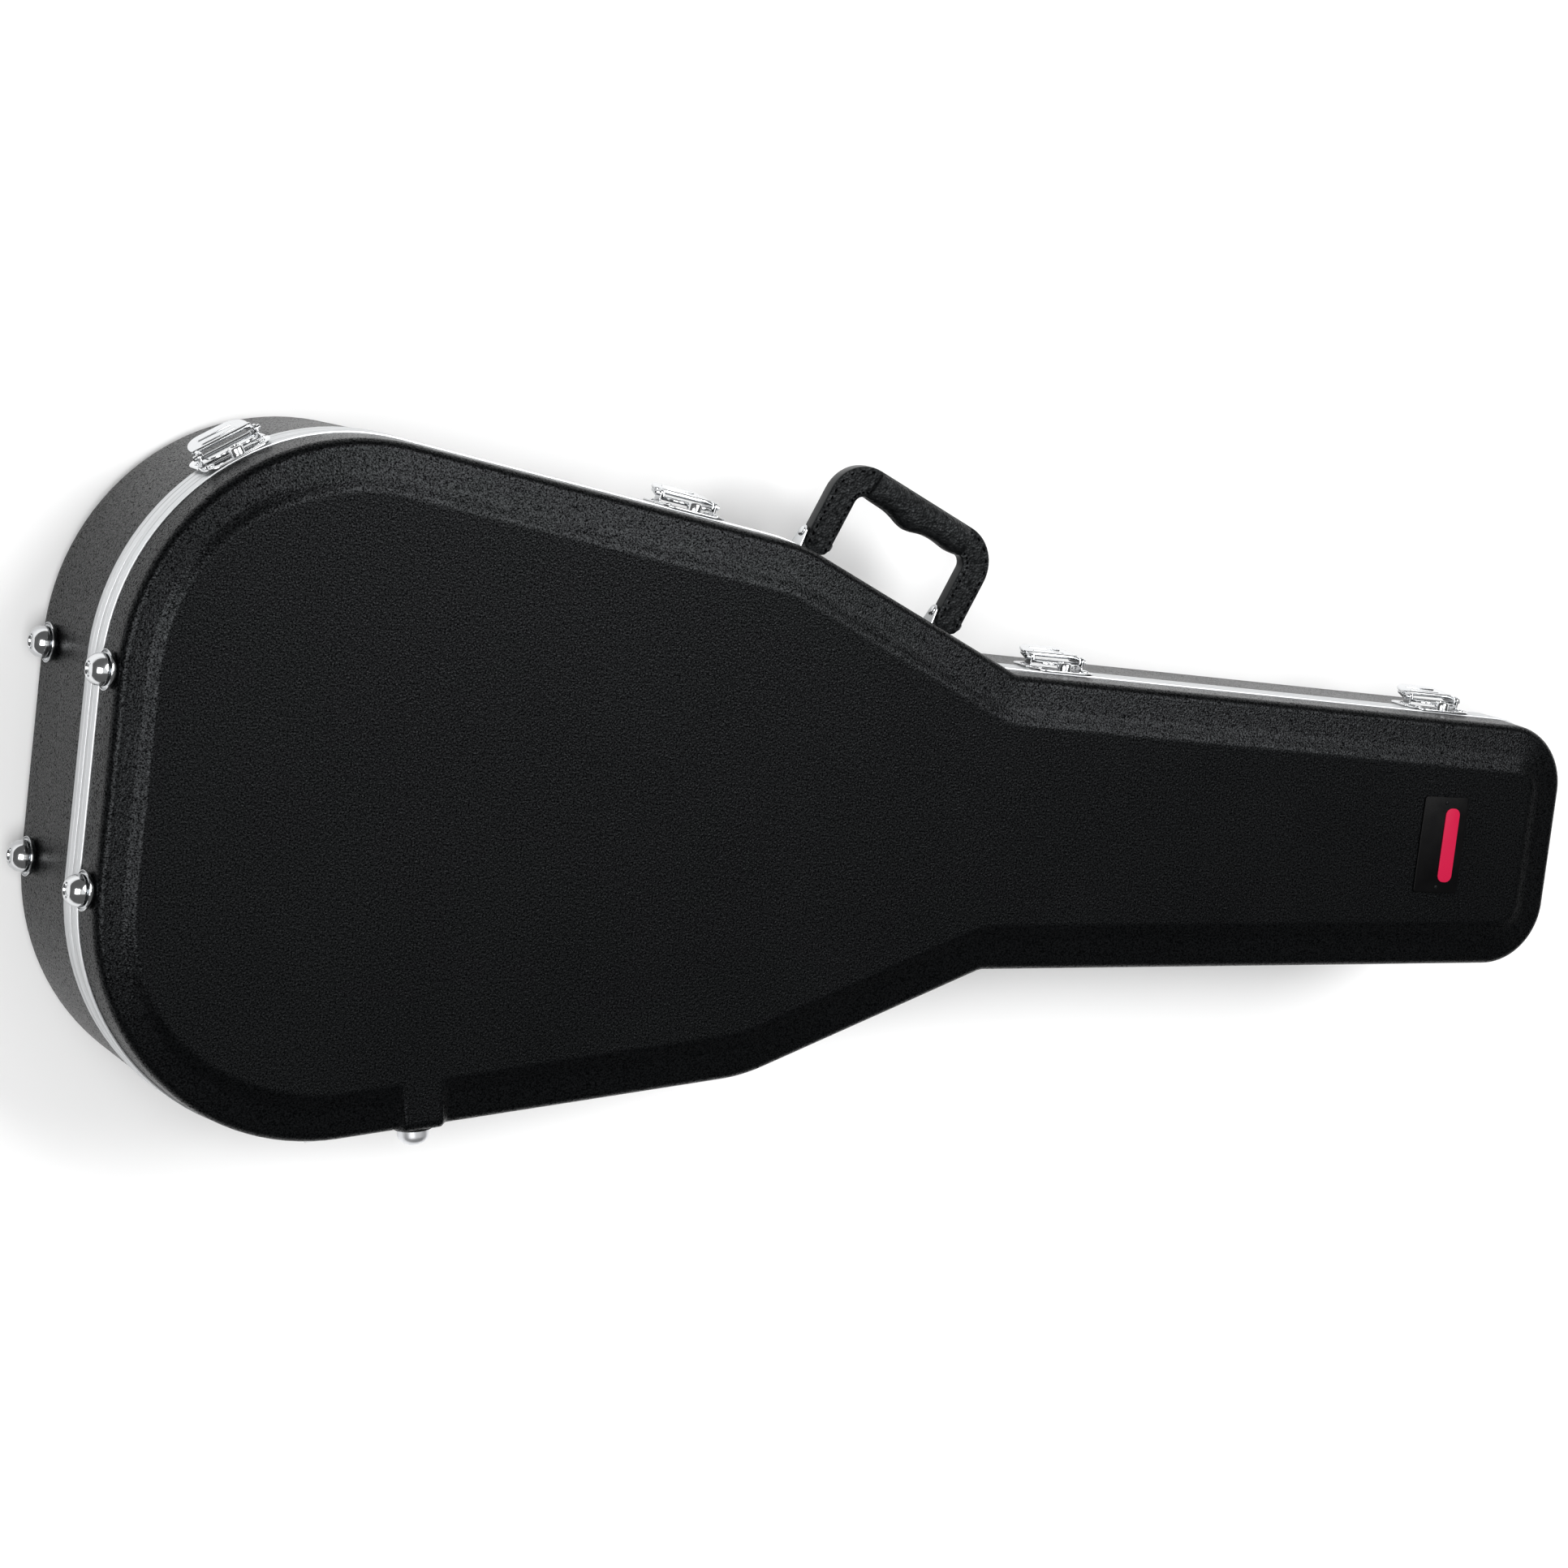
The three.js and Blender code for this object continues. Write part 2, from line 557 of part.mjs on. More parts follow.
// The link: a plate hung on the lever that reaches over the keeper and notches round its post.
function latchLink() {
  const { linkV, linkN, metal, roll, postV, notch } = LATCH;
  const mouth = Math.asin((postV - 7) / notch);
  const shape = new THREE.Shape();
  shape.moveTo(-17.4, linkV);
  shape.lineTo(17.4, linkV);
  shape.lineTo(17.4, -1);
  shape.quadraticCurveTo(17, 5.5, 9, 7);
  shape.absarc(0, postV, notch, -mouth, Math.PI + mouth, true);
  shape.lineTo(-9, 7);
  shape.quadraticCurveTo(-17, 5.5, -17.4, -1);
  return join(slab(shape, linkN - metal / 2, linkN + metal / 2), rod(-17.7, 17.7, linkV, linkN, roll, 10));
}

// The keeper on the lid rim: a half-round plate with a round post and two rivet heads.
function latchKeeper() {
  const { width, metal, postV, post } = LATCH;
  const plate = slab(roundedPlate(-width / 2, width / 2, 0.8, 15.5, 2, 11), GAP, GAP + metal);
  const postHeight = 5.6;
  const round = (radiusTop, radius, height, u, v, segments) => {
    const drum = new THREE.CylinderGeometry(radiusTop, radius, height, segments);
    return drum.rotateX(Math.PI / 2).translate(u, v, 1 + height / 2);
  };
  return join(
    plate,
    round(post, post, postHeight, 0, postV, 14),
    round(post - 0.8, post, 0.8, 0, postV, 14).translate(0, 0, postHeight),
    round(1.6, 2.6, 1.8, 18.5, 6.5, 8),
    round(1.6, 2.6, 1.8, -18.5, 6.5, 8),
  );
}

function latches() {
  const boutArc = ARCS.at(-1);
  const seats = {
    bout: arcPoint(boutArc, LATCH_BOUT_ANGLE),
    body: sidePoint(BOUT, UPPER_BOUT, LATCH_X.body, 1),
    neck: sidePoint(NECK_ROOT, NECK_END, LATCH_X.neck, 1),
    head: sidePoint(NECK_ROOT, NECK_END, LATCH_X.head, 1),
  };
  for (const [place, seat] of Object.entries(seats)) {
    const group = onWall(seat, PARTING_Z);
    add(`latch_${place}_plate`, latchPlate(), CHROME, group);
    add(`latch_${place}_lever`, latchLever(), CHROME, group);
    add(`latch_${place}_link`, latchLink(), CHROME, group);
    add(`latch_${place}_keeper`, latchKeeper(), CHROME, group);
  }
}

// ---- feet ------------------------------------------------------------------------------------

// A ball with a recess in its flat end, in a cup whose rim stands free of it.
function ballFoot() {
  const { radius, flange, height } = FOOT;
  const profile = [
    [0, GAP], [flange - 2.6, GAP], [flange, 2.2], [flange, 4.2], [flange - 0.6, 4.2], [radius - 1, 1.9],
    [radius, 6.4], [radius - 0.9, 10.6], [radius - 4.4, height], [radius - 5.2, height],
    [radius - 5.8, height - 1], [0, height - 1],
  ];
  return lathe(profile);
}

// A plain dome on a washer.
function domeFoot() {
  const { washer, thick, radius, height } = SPINE_FOOT;
  const profile = [
    [0, GAP], [washer, GAP], [washer, GAP + thick], [radius, GAP + thick], [radius, height - 7],
    [radius - 1, height - 3.6], [radius - 4, height - 1], [0, height],
  ];
  return lathe(profile);
}

// A body turned about local Z from [radius, height] pairs.
function lathe(profile) {
  const points = profile.map(([r, h]) => new THREE.Vector2(r, h));
  return new THREE.LatheGeometry(points, 16).rotateX(Math.PI / 2);
}

function feet() {
  const lean = Math.atan(DRAFT);
  const butt = (y) => ({ point: new THREE.Vector3(-LENGTH / 2, y, 0), out: new THREE.Vector3(-1, 0, 0) });
  const lidZ = PARTING_Z + FOOT.lidH;
  const baseZ = PARTING_Z - FOOT.baseH;
  const lidOut = -wallInset(LID, FOOT.lidH);
  const baseOut = -wallInset(BASE, FOOT.baseH);
  for (const [place, y] of [['handle_side', FOOT.buttY], ['spine_side', -FOOT.buttY]]) {
    add(`lid_foot_${place}`, ballFoot(), CHROME, onWall(butt(y), lidZ, lidOut, lean));
    add(`base_foot_${place}`, ballFoot(), CHROME, onWall(butt(y), baseZ, baseOut, -lean));
  }
  const spine = sidePoint(BOUT, UPPER_BOUT, SPINE_FOOT.x, -1);
  add('lid_spine_foot', domeFoot(), CHROME, onWall(spine, lidZ + 1, -SPINE_FOOT.seat));
  add('base_spine_foot', domeFoot(), CHROME, onWall(spine, baseZ, -SPINE_FOOT.seat));
}

// ---- handle ----------------------------------------------------------------------------------

// The handle is drawn in X (along the shoulder) and Y (out from the pivots), and stands about z = 0.
function handleGrip() {
  const { width, height, leg, thick, grip, corner, underside, foot, footRadius, wrap, bore } = HANDLE;
  const half = width / 2;
  const inner = half - leg;
  const footTop = foot + footRadius;
  const frame = new THREE.Shape();
  frame.moveTo(-half, footTop);
  frame.quadraticCurveTo(-half, foot, -half + footRadius, foot);
  frame.lineTo(-inner - footRadius, foot);
  frame.quadraticCurveTo(-inner, foot, -inner, footTop);
  frame.lineTo(-inner + 2, underside - 4);
  frame.quadraticCurveTo(-inner + 2, underside, -inner + 6, underside);
  frame.lineTo(inner - 6, underside);
  frame.quadraticCurveTo(inner - 2, underside, inner - 2, underside - 4);
  frame.lineTo(inner, footTop);
  frame.quadraticCurveTo(inner, foot, inner + footRadius, foot);
  frame.lineTo(half - footRadius, foot);
  frame.quadraticCurveTo(half, foot, half, footTop);
  frame.lineTo(half, height - corner);
  frame.absarc(half - corner, height - corner, corner, 0, Math.PI / 2, false);
  frame.lineTo(-half + corner, height);
  frame.absarc(-half + corner, height - corner, corner, Math.PI / 2, Math.PI, false);
  const body = slab(frame, -thick / 2, thick / 2, 4);
  const bores = [-1, 1].map((end) => rod(end * inner - leg, end * inner + leg * 2, 0, 0, bore, 10));
  const sections = [];
  // The wrap is deepest at the palm, a little off its middle, with a small second swell by its end.
  for (let step = -8; step <= 8; step += 1) {
    const x = wrap * step / 8;
    const taper = Math.sqrt(1 - (Math.abs(step) / 8.4) ** 6);
    const palm = 4.2 * Math.exp(-(((x + 4) / 12) ** 2));
    const second = 1.2 * Math.exp(-(((x - 33) / 8) ** 2));
    const halfY = (21.6 + palm + second) / 2 * (0.9 + 0.1 * taper);
    sections.push({ x, y: height - 0.3 - halfY, halfY, halfZ: (grip / 2) * (0.5 + 0.5 * taper) });
  }
  return cut(join(body, tube(sections)), ...bores);
}

// A closed body through elliptical sections across X.
function tube(sections, count = 12) {
  const positions = [];
  const index = [];
  for (const { x, y, halfY, halfZ } of sections) {
    for (let i = 0; i < count; i += 1) {
      const angle = Math.PI * 2 * i / count;
      positions.push(x, y + halfY * Math.cos(angle), halfZ * Math.sin(angle));
    }
  }
  for (let row = 0; row < sections.length - 1; row += 1) {
    for (let i = 0; i < count; i += 1) {
      const a = row * count + i;
      const b = row * count + (i + 1) % count;
      index.push(a, b, b + count, a, b + count, a + count);
    }
  }
  const lastRow = (sections.length - 1) * count;
  for (let i = 1; i < count - 1; i += 1) {
    index.push(0, i + 1, i, lastRow, lastRow + i, lastRow + i + 1);
  }
  const geometry = new THREE.BufferGeometry();
  geometry.setAttribute('position', new THREE.Float32BufferAttribute(positions, 3));
  geometry.setIndex(index);
  geometry.computeVertexNormals();
  return geometry;
}

// A bracket under one leg: a plate on the shell and an ear on the leg's butt side, with a hole for
// the rivet. Local X points towards the butt end.
function handleBracket() {
  const { leg, out, ear, earMetal, bore } = HANDLE;
  const shape = new THREE.Shape();
  shape.moveTo(-8, 0.6);
  shape.lineTo(8, 0.6);
  shape.lineTo(ear, out);
  shape.absarc(0, out, ear, 0, Math.PI, false);
  const eye = new THREE.Path();
  eye.absarc(0, out, bore, 0, Math.PI * 2, true);
  shape.holes.push(eye);
  const inside = leg / 2 + 1;
  return join(
    slab(roundedPlate(-leg / 2 - 8, leg / 2 + 8, -12, 12, 4, 4), -1.3, 0.9),
    prism(shape, inside, inside + earMetal, 5),
  );
}

// The rivet runs through the ear and the leg, with one head on the ear and one behind the leg, which
// is a little wider there than at its foot.
function handlePin() {
  const { leg, rivet, rivetHead, earMetal } = HANDLE;
  const reach = leg / 2 + 1 + earMetal + GAP;
  const back = leg / 2 + 3 * GAP;
  return join(
    rod(-back, reach, 0, 0, rivet, 12),
    rod(reach - 0.1, reach + 1.4, 0, 0, rivetHead, 12),
    rod(-back - 1.4, -back + 0.1, 0, 0, rivetHead, 12),
  );
}

function handle() {
  const shoulder = new THREE.Vector3(NECK_ROOT.x - UPPER_BOUT.x, NECK_ROOT.y - UPPER_BOUT.y, 0).normalize();
  const out = new THREE.Vector3(-shoulder.y, shoulder.x, 0);
  const corner = new THREE.Vector3(UPPER_BOUT.x - LENGTH / 2, UPPER_BOUT.y, 0);
  const centre = corner.clone().addScaledVector(shoulder, HANDLE.s).addScaledVector(out, HANDLE.out);
  const grip = add('handle_grip', handleGrip(), LEATHER);
  grip.position.copy(centre).setZ(HANDLE.z);
  grip.rotation.z = Math.atan2(shoulder.y, shoulder.x);
  const legCentre = (HANDLE.width - HANDLE.leg) / 2;
  for (const [place, end] of [['butt', -1], ['neck', 1]]) {
    const seat = { point: corner.clone().addScaledVector(shoulder, HANDLE.s + end * legCentre), out };
    add(`handle_bracket_${place}`, handleBracket(), CHROME, onWall(seat, HANDLE.z));
    add(`handle_rivet_${place}`, handlePin(), CHROME, onWall(seat, HANDLE.z, HANDLE.out));
  }
}

// ---- badge -----------------------------------------------------------------------------------

function badge() {
  const { x, length, width, thick } = BADGE;
  const face = PARTING_Z + LID_FACE;
  const plate = slab(roundedPlate(-length / 2, length / 2, -width / 2, width / 2, 2, 2), GAP, thick);
  const plateMesh = add('badge_plate', plate, BADGE_BLACK);
  plateMesh.position.set(x - LENGTH / 2, 0, face);
  const emblem = slab(roundedPlate(-6, 6, -27, 27, 5, 5), thick + 0.1, thick + 0.9);
  const emblemMesh = add('badge_emblem', emblem, BADGE_RED);
  emblemMesh.position.set(x - LENGTH / 2 + 6, 0, face);
}

shells();
valances();
linings();
accessoryCompartment();
neckRest();
hinges();
latches();
feet();
handle();
badge();

export default guitarCase;
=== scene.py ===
"""Looks of the guitar case: grained moulded shells, metal rims, chrome hardware, a stitched leather
handle and a plush lining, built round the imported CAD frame.

Sizes are in millimetres and are turned into metres where a mesh is made. The outline and the
fittings repeat the CAD part's driving dimensions, while the shells' walls stand steeper and the
step of their raised face is softer. What moves is placed from its joint.
"""

import json
import math

import bmesh
import bpy
from mathutils import Matrix, Vector
from mathutils import noise as mnoise


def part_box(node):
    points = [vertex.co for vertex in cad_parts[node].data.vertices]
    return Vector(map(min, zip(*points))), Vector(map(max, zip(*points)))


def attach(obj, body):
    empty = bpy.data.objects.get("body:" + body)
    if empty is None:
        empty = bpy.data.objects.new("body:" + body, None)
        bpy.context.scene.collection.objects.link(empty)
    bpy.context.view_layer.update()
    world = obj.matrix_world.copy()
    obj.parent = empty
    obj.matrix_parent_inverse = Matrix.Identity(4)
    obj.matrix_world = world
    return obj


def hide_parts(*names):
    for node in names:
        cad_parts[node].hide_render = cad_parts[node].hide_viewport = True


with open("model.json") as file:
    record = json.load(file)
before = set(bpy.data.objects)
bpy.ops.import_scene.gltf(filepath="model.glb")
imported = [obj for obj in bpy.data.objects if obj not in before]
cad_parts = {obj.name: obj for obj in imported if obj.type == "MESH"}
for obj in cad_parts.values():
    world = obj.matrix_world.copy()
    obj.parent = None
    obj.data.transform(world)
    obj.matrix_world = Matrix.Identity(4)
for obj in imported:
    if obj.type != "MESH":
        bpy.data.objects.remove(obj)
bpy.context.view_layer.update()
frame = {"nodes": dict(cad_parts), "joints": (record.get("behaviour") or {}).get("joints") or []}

MM = 0.001
JOINTS = {joint["name"]: joint for joint in frame["joints"]}
UP = Vector((0, 0, 1))
# Turns local Z to lie along X, so that a section drawn in X, Y is seen in Y, Z.
ALONG_X = Matrix(((0, 0, 1), (1, 0, 0), (0, 1, 0)))
# Turned profiles start and end this far from their axis, and closer points count as one.
AXIS = 0.01
SAME_POINT = 1e-4

# ---- driving dimensions ----

LENGTH = 1120.0
PARTING_Z = 120.0
# The outline's corners on the +Y side: x from the butt end, half width, radius, steps round it.
CORNERS = [(0, 257, 160, 30), (474, 182, 124, 10), (649, 104.5, 17, 8), (LENGTH, 88, 48, 20)]
STRAIGHT_STEP = 16.0

SHELL_WALL = 2.6
SHELL_INSET = 0.8
EDGE_RADIUS = 7.0
BAND_RISE = 2.5
# The step up to the raised face: its height, its insets, and how far its two bends spread.
STEP_RISE = 3.5
STEP_FOOT = 25.0
STEP_HEAD = 33.0
STEP_SOFT = 2.5
# At the butt end the band between the edge and the raised face is narrower by this share.
BUTT_NARROWING = 0.3

# Each half, by distance from the parting plane: its edge, its rim, the low end of its boss, the
# rings of its wall below that, its two butt feet and its spine foot. Draft is the wall's lean.
LID = {"side": 1, "edge": 42.6, "rim": 2.6, "boss_low": 14.2, "low_rings": (14.2, 13.2, 8.0, 2.6),
       "foot": 28.0, "spine_foot": 29.0, "draft": 0.025}
BASE = {"side": -1, "edge": 114.0, "rim": 4.7, "boss_low": 60.0,
        "low_rings": (54.0, 48.0, 32.35, 15.76, 4.7), "foot": 87.0, "spine_foot": 87.0, "draft": 0.03}
HALVES = (("lid", LID, "lid"), ("base", BASE, "case_base"))
# The pad that the spine foot stands on: half length, fillets, inset of its upright face, edge
# radius, and the outline's close samples across it.
BOSS = {"x": 240.0, "half": 12.5, "butt_fillet": 3.0, "neck_fillet": 7.5, "inset": 1.0, "radius": 6.5,
        "samples": 22, "pitch": 1.5}

RIM = {"height": 13.0, "flange": 1.0, "web": 2.0, "inner": 7.0, "tongue": (2.9, 5.1), "depth": 1.9}
PAD = {"wall": 18.0, "floor": 18.0, "ceiling": 155.0}

# A latch in its own frame: up from the parting plane, and out from the rim.
LATCHES = ("bout", "body", "neck", "head")
LATCH_HALF = 25.0
PIVOT_UP, PIVOT_OUT = -4.0, 7.5
LINK_UP, LINK_OUT = -8.0, 5.0
# The lever's finger plate hangs from this edge, and flares out from the case.
EDGE_UP, EDGE_OUT = -11.6, 9.4
FINGER = 16.8
FLARE = math.radians(13)
POST_UP = 9.0

FOOT = {"radius": 10.6, "flange": 13.2, "height": 15.0, "butt_y": 70.0}
SPINE_FOOT = {"washer": 13.8, "thick": 1.2, "radius": 10.4, "height": 13.3}
HANDLE = {"width": 140.0, "height": 63.0, "leg": 21.0, "thick": 11.0, "grip": 21.0, "out": 14.0,
          "corner": 28.0, "foot": -9.0, "wrap": 42.0}


# ---- mesh helpers ----

def make(name, parts, material, body, replaces=(), place=None, flat_angle=35):
    """One piece from several (vertices, faces) parts in millimetres, riding on a CAD body."""
    vertices, faces = [], []
    for part_vertices, part_faces in parts:
        start = len(vertices)
        vertices += [tuple(v) for v in part_vertices]
        faces += [tuple(start + i for i in face) for face in part_faces]
    mesh = bpy.data.meshes.new(name)
    mesh.from_pydata(vertices, [], faces)
    mesh.transform(Matrix.Scale(MM, 4) if place is None else place @ Matrix.Scale(MM, 4))
    build = bmesh.new()
    build.from_mesh(mesh)
    bmesh.ops.recalc_face_normals(build, faces=build.faces)
    build.to_mesh(mesh)
    build.free()
    mesh.shade_smooth()
    mesh.set_sharp_from_angle(angle=math.radians(flat_angle))
    piece = bpy.data.objects.new(name, mesh)
    bpy.context.scene.collection.objects.link(piece)
    piece.data.materials.append(material)
    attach(piece, body)
    if replaces:
        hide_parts(*replaces)
    return piece


def loft(rows, closed=False, caps=True):
    """Faces through rows of points, each row a closed ring of the same count."""
    count = len(rows[0])
    vertices = [point for row in rows for point in row]
    faces = []
    for row in range(len(rows) if closed else len(rows) - 1):
        low = row * count
        high = (row + 1) % len(rows) * count
        for i in range(count):
            j = (i + 1) % count
            faces.append((low + i, low + j, high + j, high + i))
    if caps and not closed:
        faces.append(tuple(reversed(range(count))))
        faces.append(tuple(range(len(vertices) - count, len(vertices))))
    return vertices, faces


def lathe(profile, segments=40, closed=False):
    """A body turned about local Z from (radius, height) pairs. Unless it is closed, like a tube, the
    pairs start and end near the axis."""
    circles = [(arc(0, 0, radius, 0, 360, segments)[:-1], height) for radius, height in profile]
    return loft([[(x, y, height) for x, y in circle] for circle, height in circles], closed)


def moved(part, offset=(0, 0, 0), turn=None):
    """A part turned by a matrix and then shifted."""
    vertices, faces = part
    turn = turn or Matrix.Identity(3)
    return [turn @ Vector(v) + Vector(offset) for v in vertices], faces


def arc(cx, cy, radius, start, end, steps):
    """Points on an arc, with angles in degrees."""
    points = []
    for i in range(steps + 1):
        angle = math.radians(start + (end - start) * i / steps)
        points.append((cx + radius * math.cos(angle), cy + radius * math.sin(angle)))
    return points


def domed(half, low, high, angles):
    """Points over a half-round dome or down a half-round notch, from low to high at its middle."""
    return [(half * math.cos(math.radians(angle)), low + (high - low) * math.sin(math.radians(angle)))
            for angle in angles]


def rounded(x0, x1, y0, y1, low, high, steps=8):
    """A rectangle's outline, anticlockwise, with one radius for its low-y corners and one for its
    high-y corners."""
    return [
        *arc(x1 - low, y0 + low, low, -90, 0, steps),
        *arc(x1 - high, y1 - high, high, 0, 90, steps),
        *arc(x0 + high, y1 - high, high, 90, 180, steps),
        *arc(x0 + low, y0 + low, low, 180, 270, steps),
    ]


def shrunk(outline, inset):
    """An anticlockwise outline moved inward along its corner mitres."""
    points = [Vector(p) for p in outline]
    result = []
    for i, here in enumerate(points):
        before = (here - points[i - 1]).normalized()
        after = (points[(i + 1) % len(points)] - here).normalized()
        inward = Vector((-before.y - after.y, before.x + after.x))
        if inward.length < 1e-6:
            inward = Vector((-before.y, before.x))
        inward.normalize()
        mitre = max(0.5, inward.dot(Vector((-before.y, before.x))))
        result.append(here + inward * inset / mitre)
    return [(p.x, p.y) for p in result]


def unique(outline):
    """The outline without points that repeat the one before."""
    kept = []
    for point in outline:
        if not kept or math.dist(point, kept[-1]) > SAME_POINT:
            kept.append(point)
    if math.dist(kept[0], kept[-1]) <= SAME_POINT:
        kept.pop()
    return kept


def plate(outline, z0, z1, round_low=0.3, round_high=0.4, steps=3):
    """A flat plate standing from z0 to z1 with both its edges rounded over."""
    outline = unique(outline)
    angles = [math.pi / 2 * i / steps for i in range(steps + 1)]
    levels = [(round_low * (1 - math.sin(a)), z0 + round_low * (1 - math.cos(a))) for a in angles]
    levels += [(round_high * (1 - math.cos(a)), z1 - round_high * (1 - math.sin(a))) for a in angles]
    return loft([[(x, y, z) for x, y in shrunk(outline, inset)] for inset, z in levels])


def sidewise(part, offset=0.0):
    """Turns a part drawn in X, Y and standing in Z so that it is drawn in Y, Z and stands in X."""
    return moved(part, (offset, 0, 0), ALONG_X)


def rod(x0, x1, y, z, radius, bore=None):
    """A bar along X with softened ends, or a tube where it has a bore."""
    edge, inner, segments = (0.3, AXIS, 24) if bore is None else (0.25, bore, 28)
    profile = [(inner, x0), (radius - edge, x0), (radius, x0 + edge), (radius, x1 - edge)]
    profile += [(radius - edge, x1), (inner, x1)]
    return moved(lathe(profile, segments, closed=bore is not None), (0, y, z), ALONG_X)


def smoothstep(value):
    """0 up to 0, 1 from 1 on, and a smooth rise between them."""
    value = min(1.0, max(0.0, value))
    return value * value * (3 - 2 * value)


# ---- the outline ----

def outline_corners():
    """Every corner anticlockwise from above, from the bout on the -Y side."""
    right = [(x - LENGTH / 2, -y, radius, steps) for x, y, radius, steps in CORNERS]
    left = [(x - LENGTH / 2, y, radius, steps) for x, y, radius, steps in reversed(CORNERS)]
    return right + left


def make_outline():
    """Samples of the outline as (x, y, outward x, outward y), arcs and straights alike."""
    corners = outline_corners()
    arcs = []
    for i, (x, y, radius, steps) in enumerate(corners):
        before = corners[i - 1]
        after = corners[(i + 1) % len(corners)]
        incoming = math.atan2(y - before[1], x - before[0])
        outgoing = math.atan2(after[1] - y, after[0] - x)
        turn = math.atan2(math.sin(outgoing - incoming), math.cos(outgoing - incoming))
        sense = math.copysign(1, turn)
        setback = radius * math.tan(abs(turn) / 2)
        cx = x - setback * math.cos(incoming) - sense * radius * math.sin(incoming)
        cy = y - setback * math.sin(incoming) + sense * radius * math.cos(incoming)
        points = []
        for step in range(steps + 1):
            heading = incoming + turn * step / steps
            nx, ny = math.sin(heading), -math.cos(heading)
            points.append((cx + sense * radius * nx, cy + sense * radius * ny, nx, ny))
        arcs.append(points)
    boss_x = BOSS["x"] - LENGTH / 2
    reach = BOSS["samples"]
    samples = []
    for i, points in enumerate(arcs):
        samples += points
        start, end = points[-1], arcs[(i + 1) % len(arcs)][0]
        run = math.dist(start[:2], end[:2])
        pieces = max(1, round(run / STRAIGHT_STEP))
        stations = [run * k / pieces for k in range(1, pieces)]
        if i == 0:
            centre = (boss_x - start[0]) / (end[0] - start[0]) * run
            stations = [s for s in stations if abs(s - centre) > reach * BOSS["pitch"] + 1]
            stations += [centre + BOSS["pitch"] * k for k in range(-reach, reach + 1)]
        for s in sorted(stations):
            share = s / run
            samples.append((start[0] + (end[0] - start[0]) * share,
                            start[1] + (end[1] - start[1]) * share, end[2], end[3]))
    return samples


OUTLINE = make_outline()


def side_point(first, second, x, side):
    """A point on the straight between two corners of CORNERS, and the direction out of it."""
    x0, y0 = CORNERS[first][:2]
    x1, y1 = CORNERS[second][:2]
    y = y0 + (y1 - y0) * (x - x0) / (x1 - x0)
    run = Vector((x1 - x0, side * (y1 - y0), 0)).normalized()
    return Vector((x - LENGTH / 2, side * y, 0)), Vector((-side * run.y, side * run.x, 0))


BOSS_SEAT, BOSS_OUT = side_point(0, 1, BOSS["x"], -1)


def boss_weight(x, y):
    """1 on the boss of the spine foot, falling to 0 over its two fillets."""
    if y > 0:
        return 0.0
    along = (Vector((x, y, 0)) - BOSS_SEAT).dot(Vector((-BOSS_OUT.y, BOSS_OUT.x, 0)))
    if along < 0:
        return 1 - smoothstep((-along - BOSS["half"]) / BOSS["butt_fillet"])
    return 1 - smoothstep((along - BOSS["half"]) / BOSS["neck_fillet"])


def wall_inset(half, distance):
    """Inset of the shell's leaning wall at a distance from the parting plane."""
    return SHELL_INSET + half["draft"] * (distance - half["rim"])


def edge_inset(half):
    """Inset at which the rounded edge ends and the band begins."""
    return wall_inset(half, half["edge"] - EDGE_RADIUS) + EDGE_RADIUS


def step_height(half, inset):
    """Distance of the shell's face from the parting plane at an inset, over the soft step."""
    flat_start = edge_inset(half)
    band = BAND_RISE * min(1.0, max(0.0, (inset - flat_start) / (STEP_FOOT - flat_start)))
    climb = smoothstep((inset - STEP_FOOT + STEP_SOFT) / (STEP_HEAD - STEP_FOOT + 2 * STEP_SOFT))
    return half["edge"] + band + STEP_RISE * climb


def face_rows(half):
    """The skin from the raised face to the rim, as pairs of its plain and its boss form."""
    top = half["edge"] + BAND_RISE + STEP_RISE
    high = half["edge"] - EDGE_RADIUS
    start, centre = STEP_HEAD + STEP_SOFT + 1, edge_inset(half)
    boss_out, boss_radius = BOSS["inset"], BOSS["radius"]
    boss_centre = boss_out + boss_radius
    face_steps, arc_steps, wall_steps = 30, 9, 4
    rows = []
    for i in range(face_steps + 1):
        inset = start + (centre - start) * i / face_steps
        share = (inset - centre) / (start - centre)
        boss_inset = boss_centre + share * (start - boss_centre)
        rows.append(((inset, step_height(half, inset)), (boss_inset, top)))
    for i in range(1, arc_steps + 1):
        angle = math.pi / 2 * (1 - i / arc_steps)
        in_share, down_share = math.cos(angle), 1 - math.sin(angle)
        rows.append((
            (centre - EDGE_RADIUS * in_share, half["edge"] - EDGE_RADIUS * down_share),
            (boss_centre - boss_radius * in_share, top - boss_radius * down_share),
        ))
    low = half["boss_low"] + 2
    for i in range(1, wall_steps + 1):
        d = high + (low - high) * i / wall_steps
        rows.append(((wall_inset(half, d), d), (boss_out, d)))
    for d in half["low_rings"]:
        rows.append(((wall_inset(half, d), d), (wall_inset(half, d), d)))
    return rows


def ring(inset, z):
    """The outline moved inward by inset, at height z above the rest plane."""
    return [(x - nx * inset, y - ny * inset, z) for x, y, nx, ny in OUTLINE]


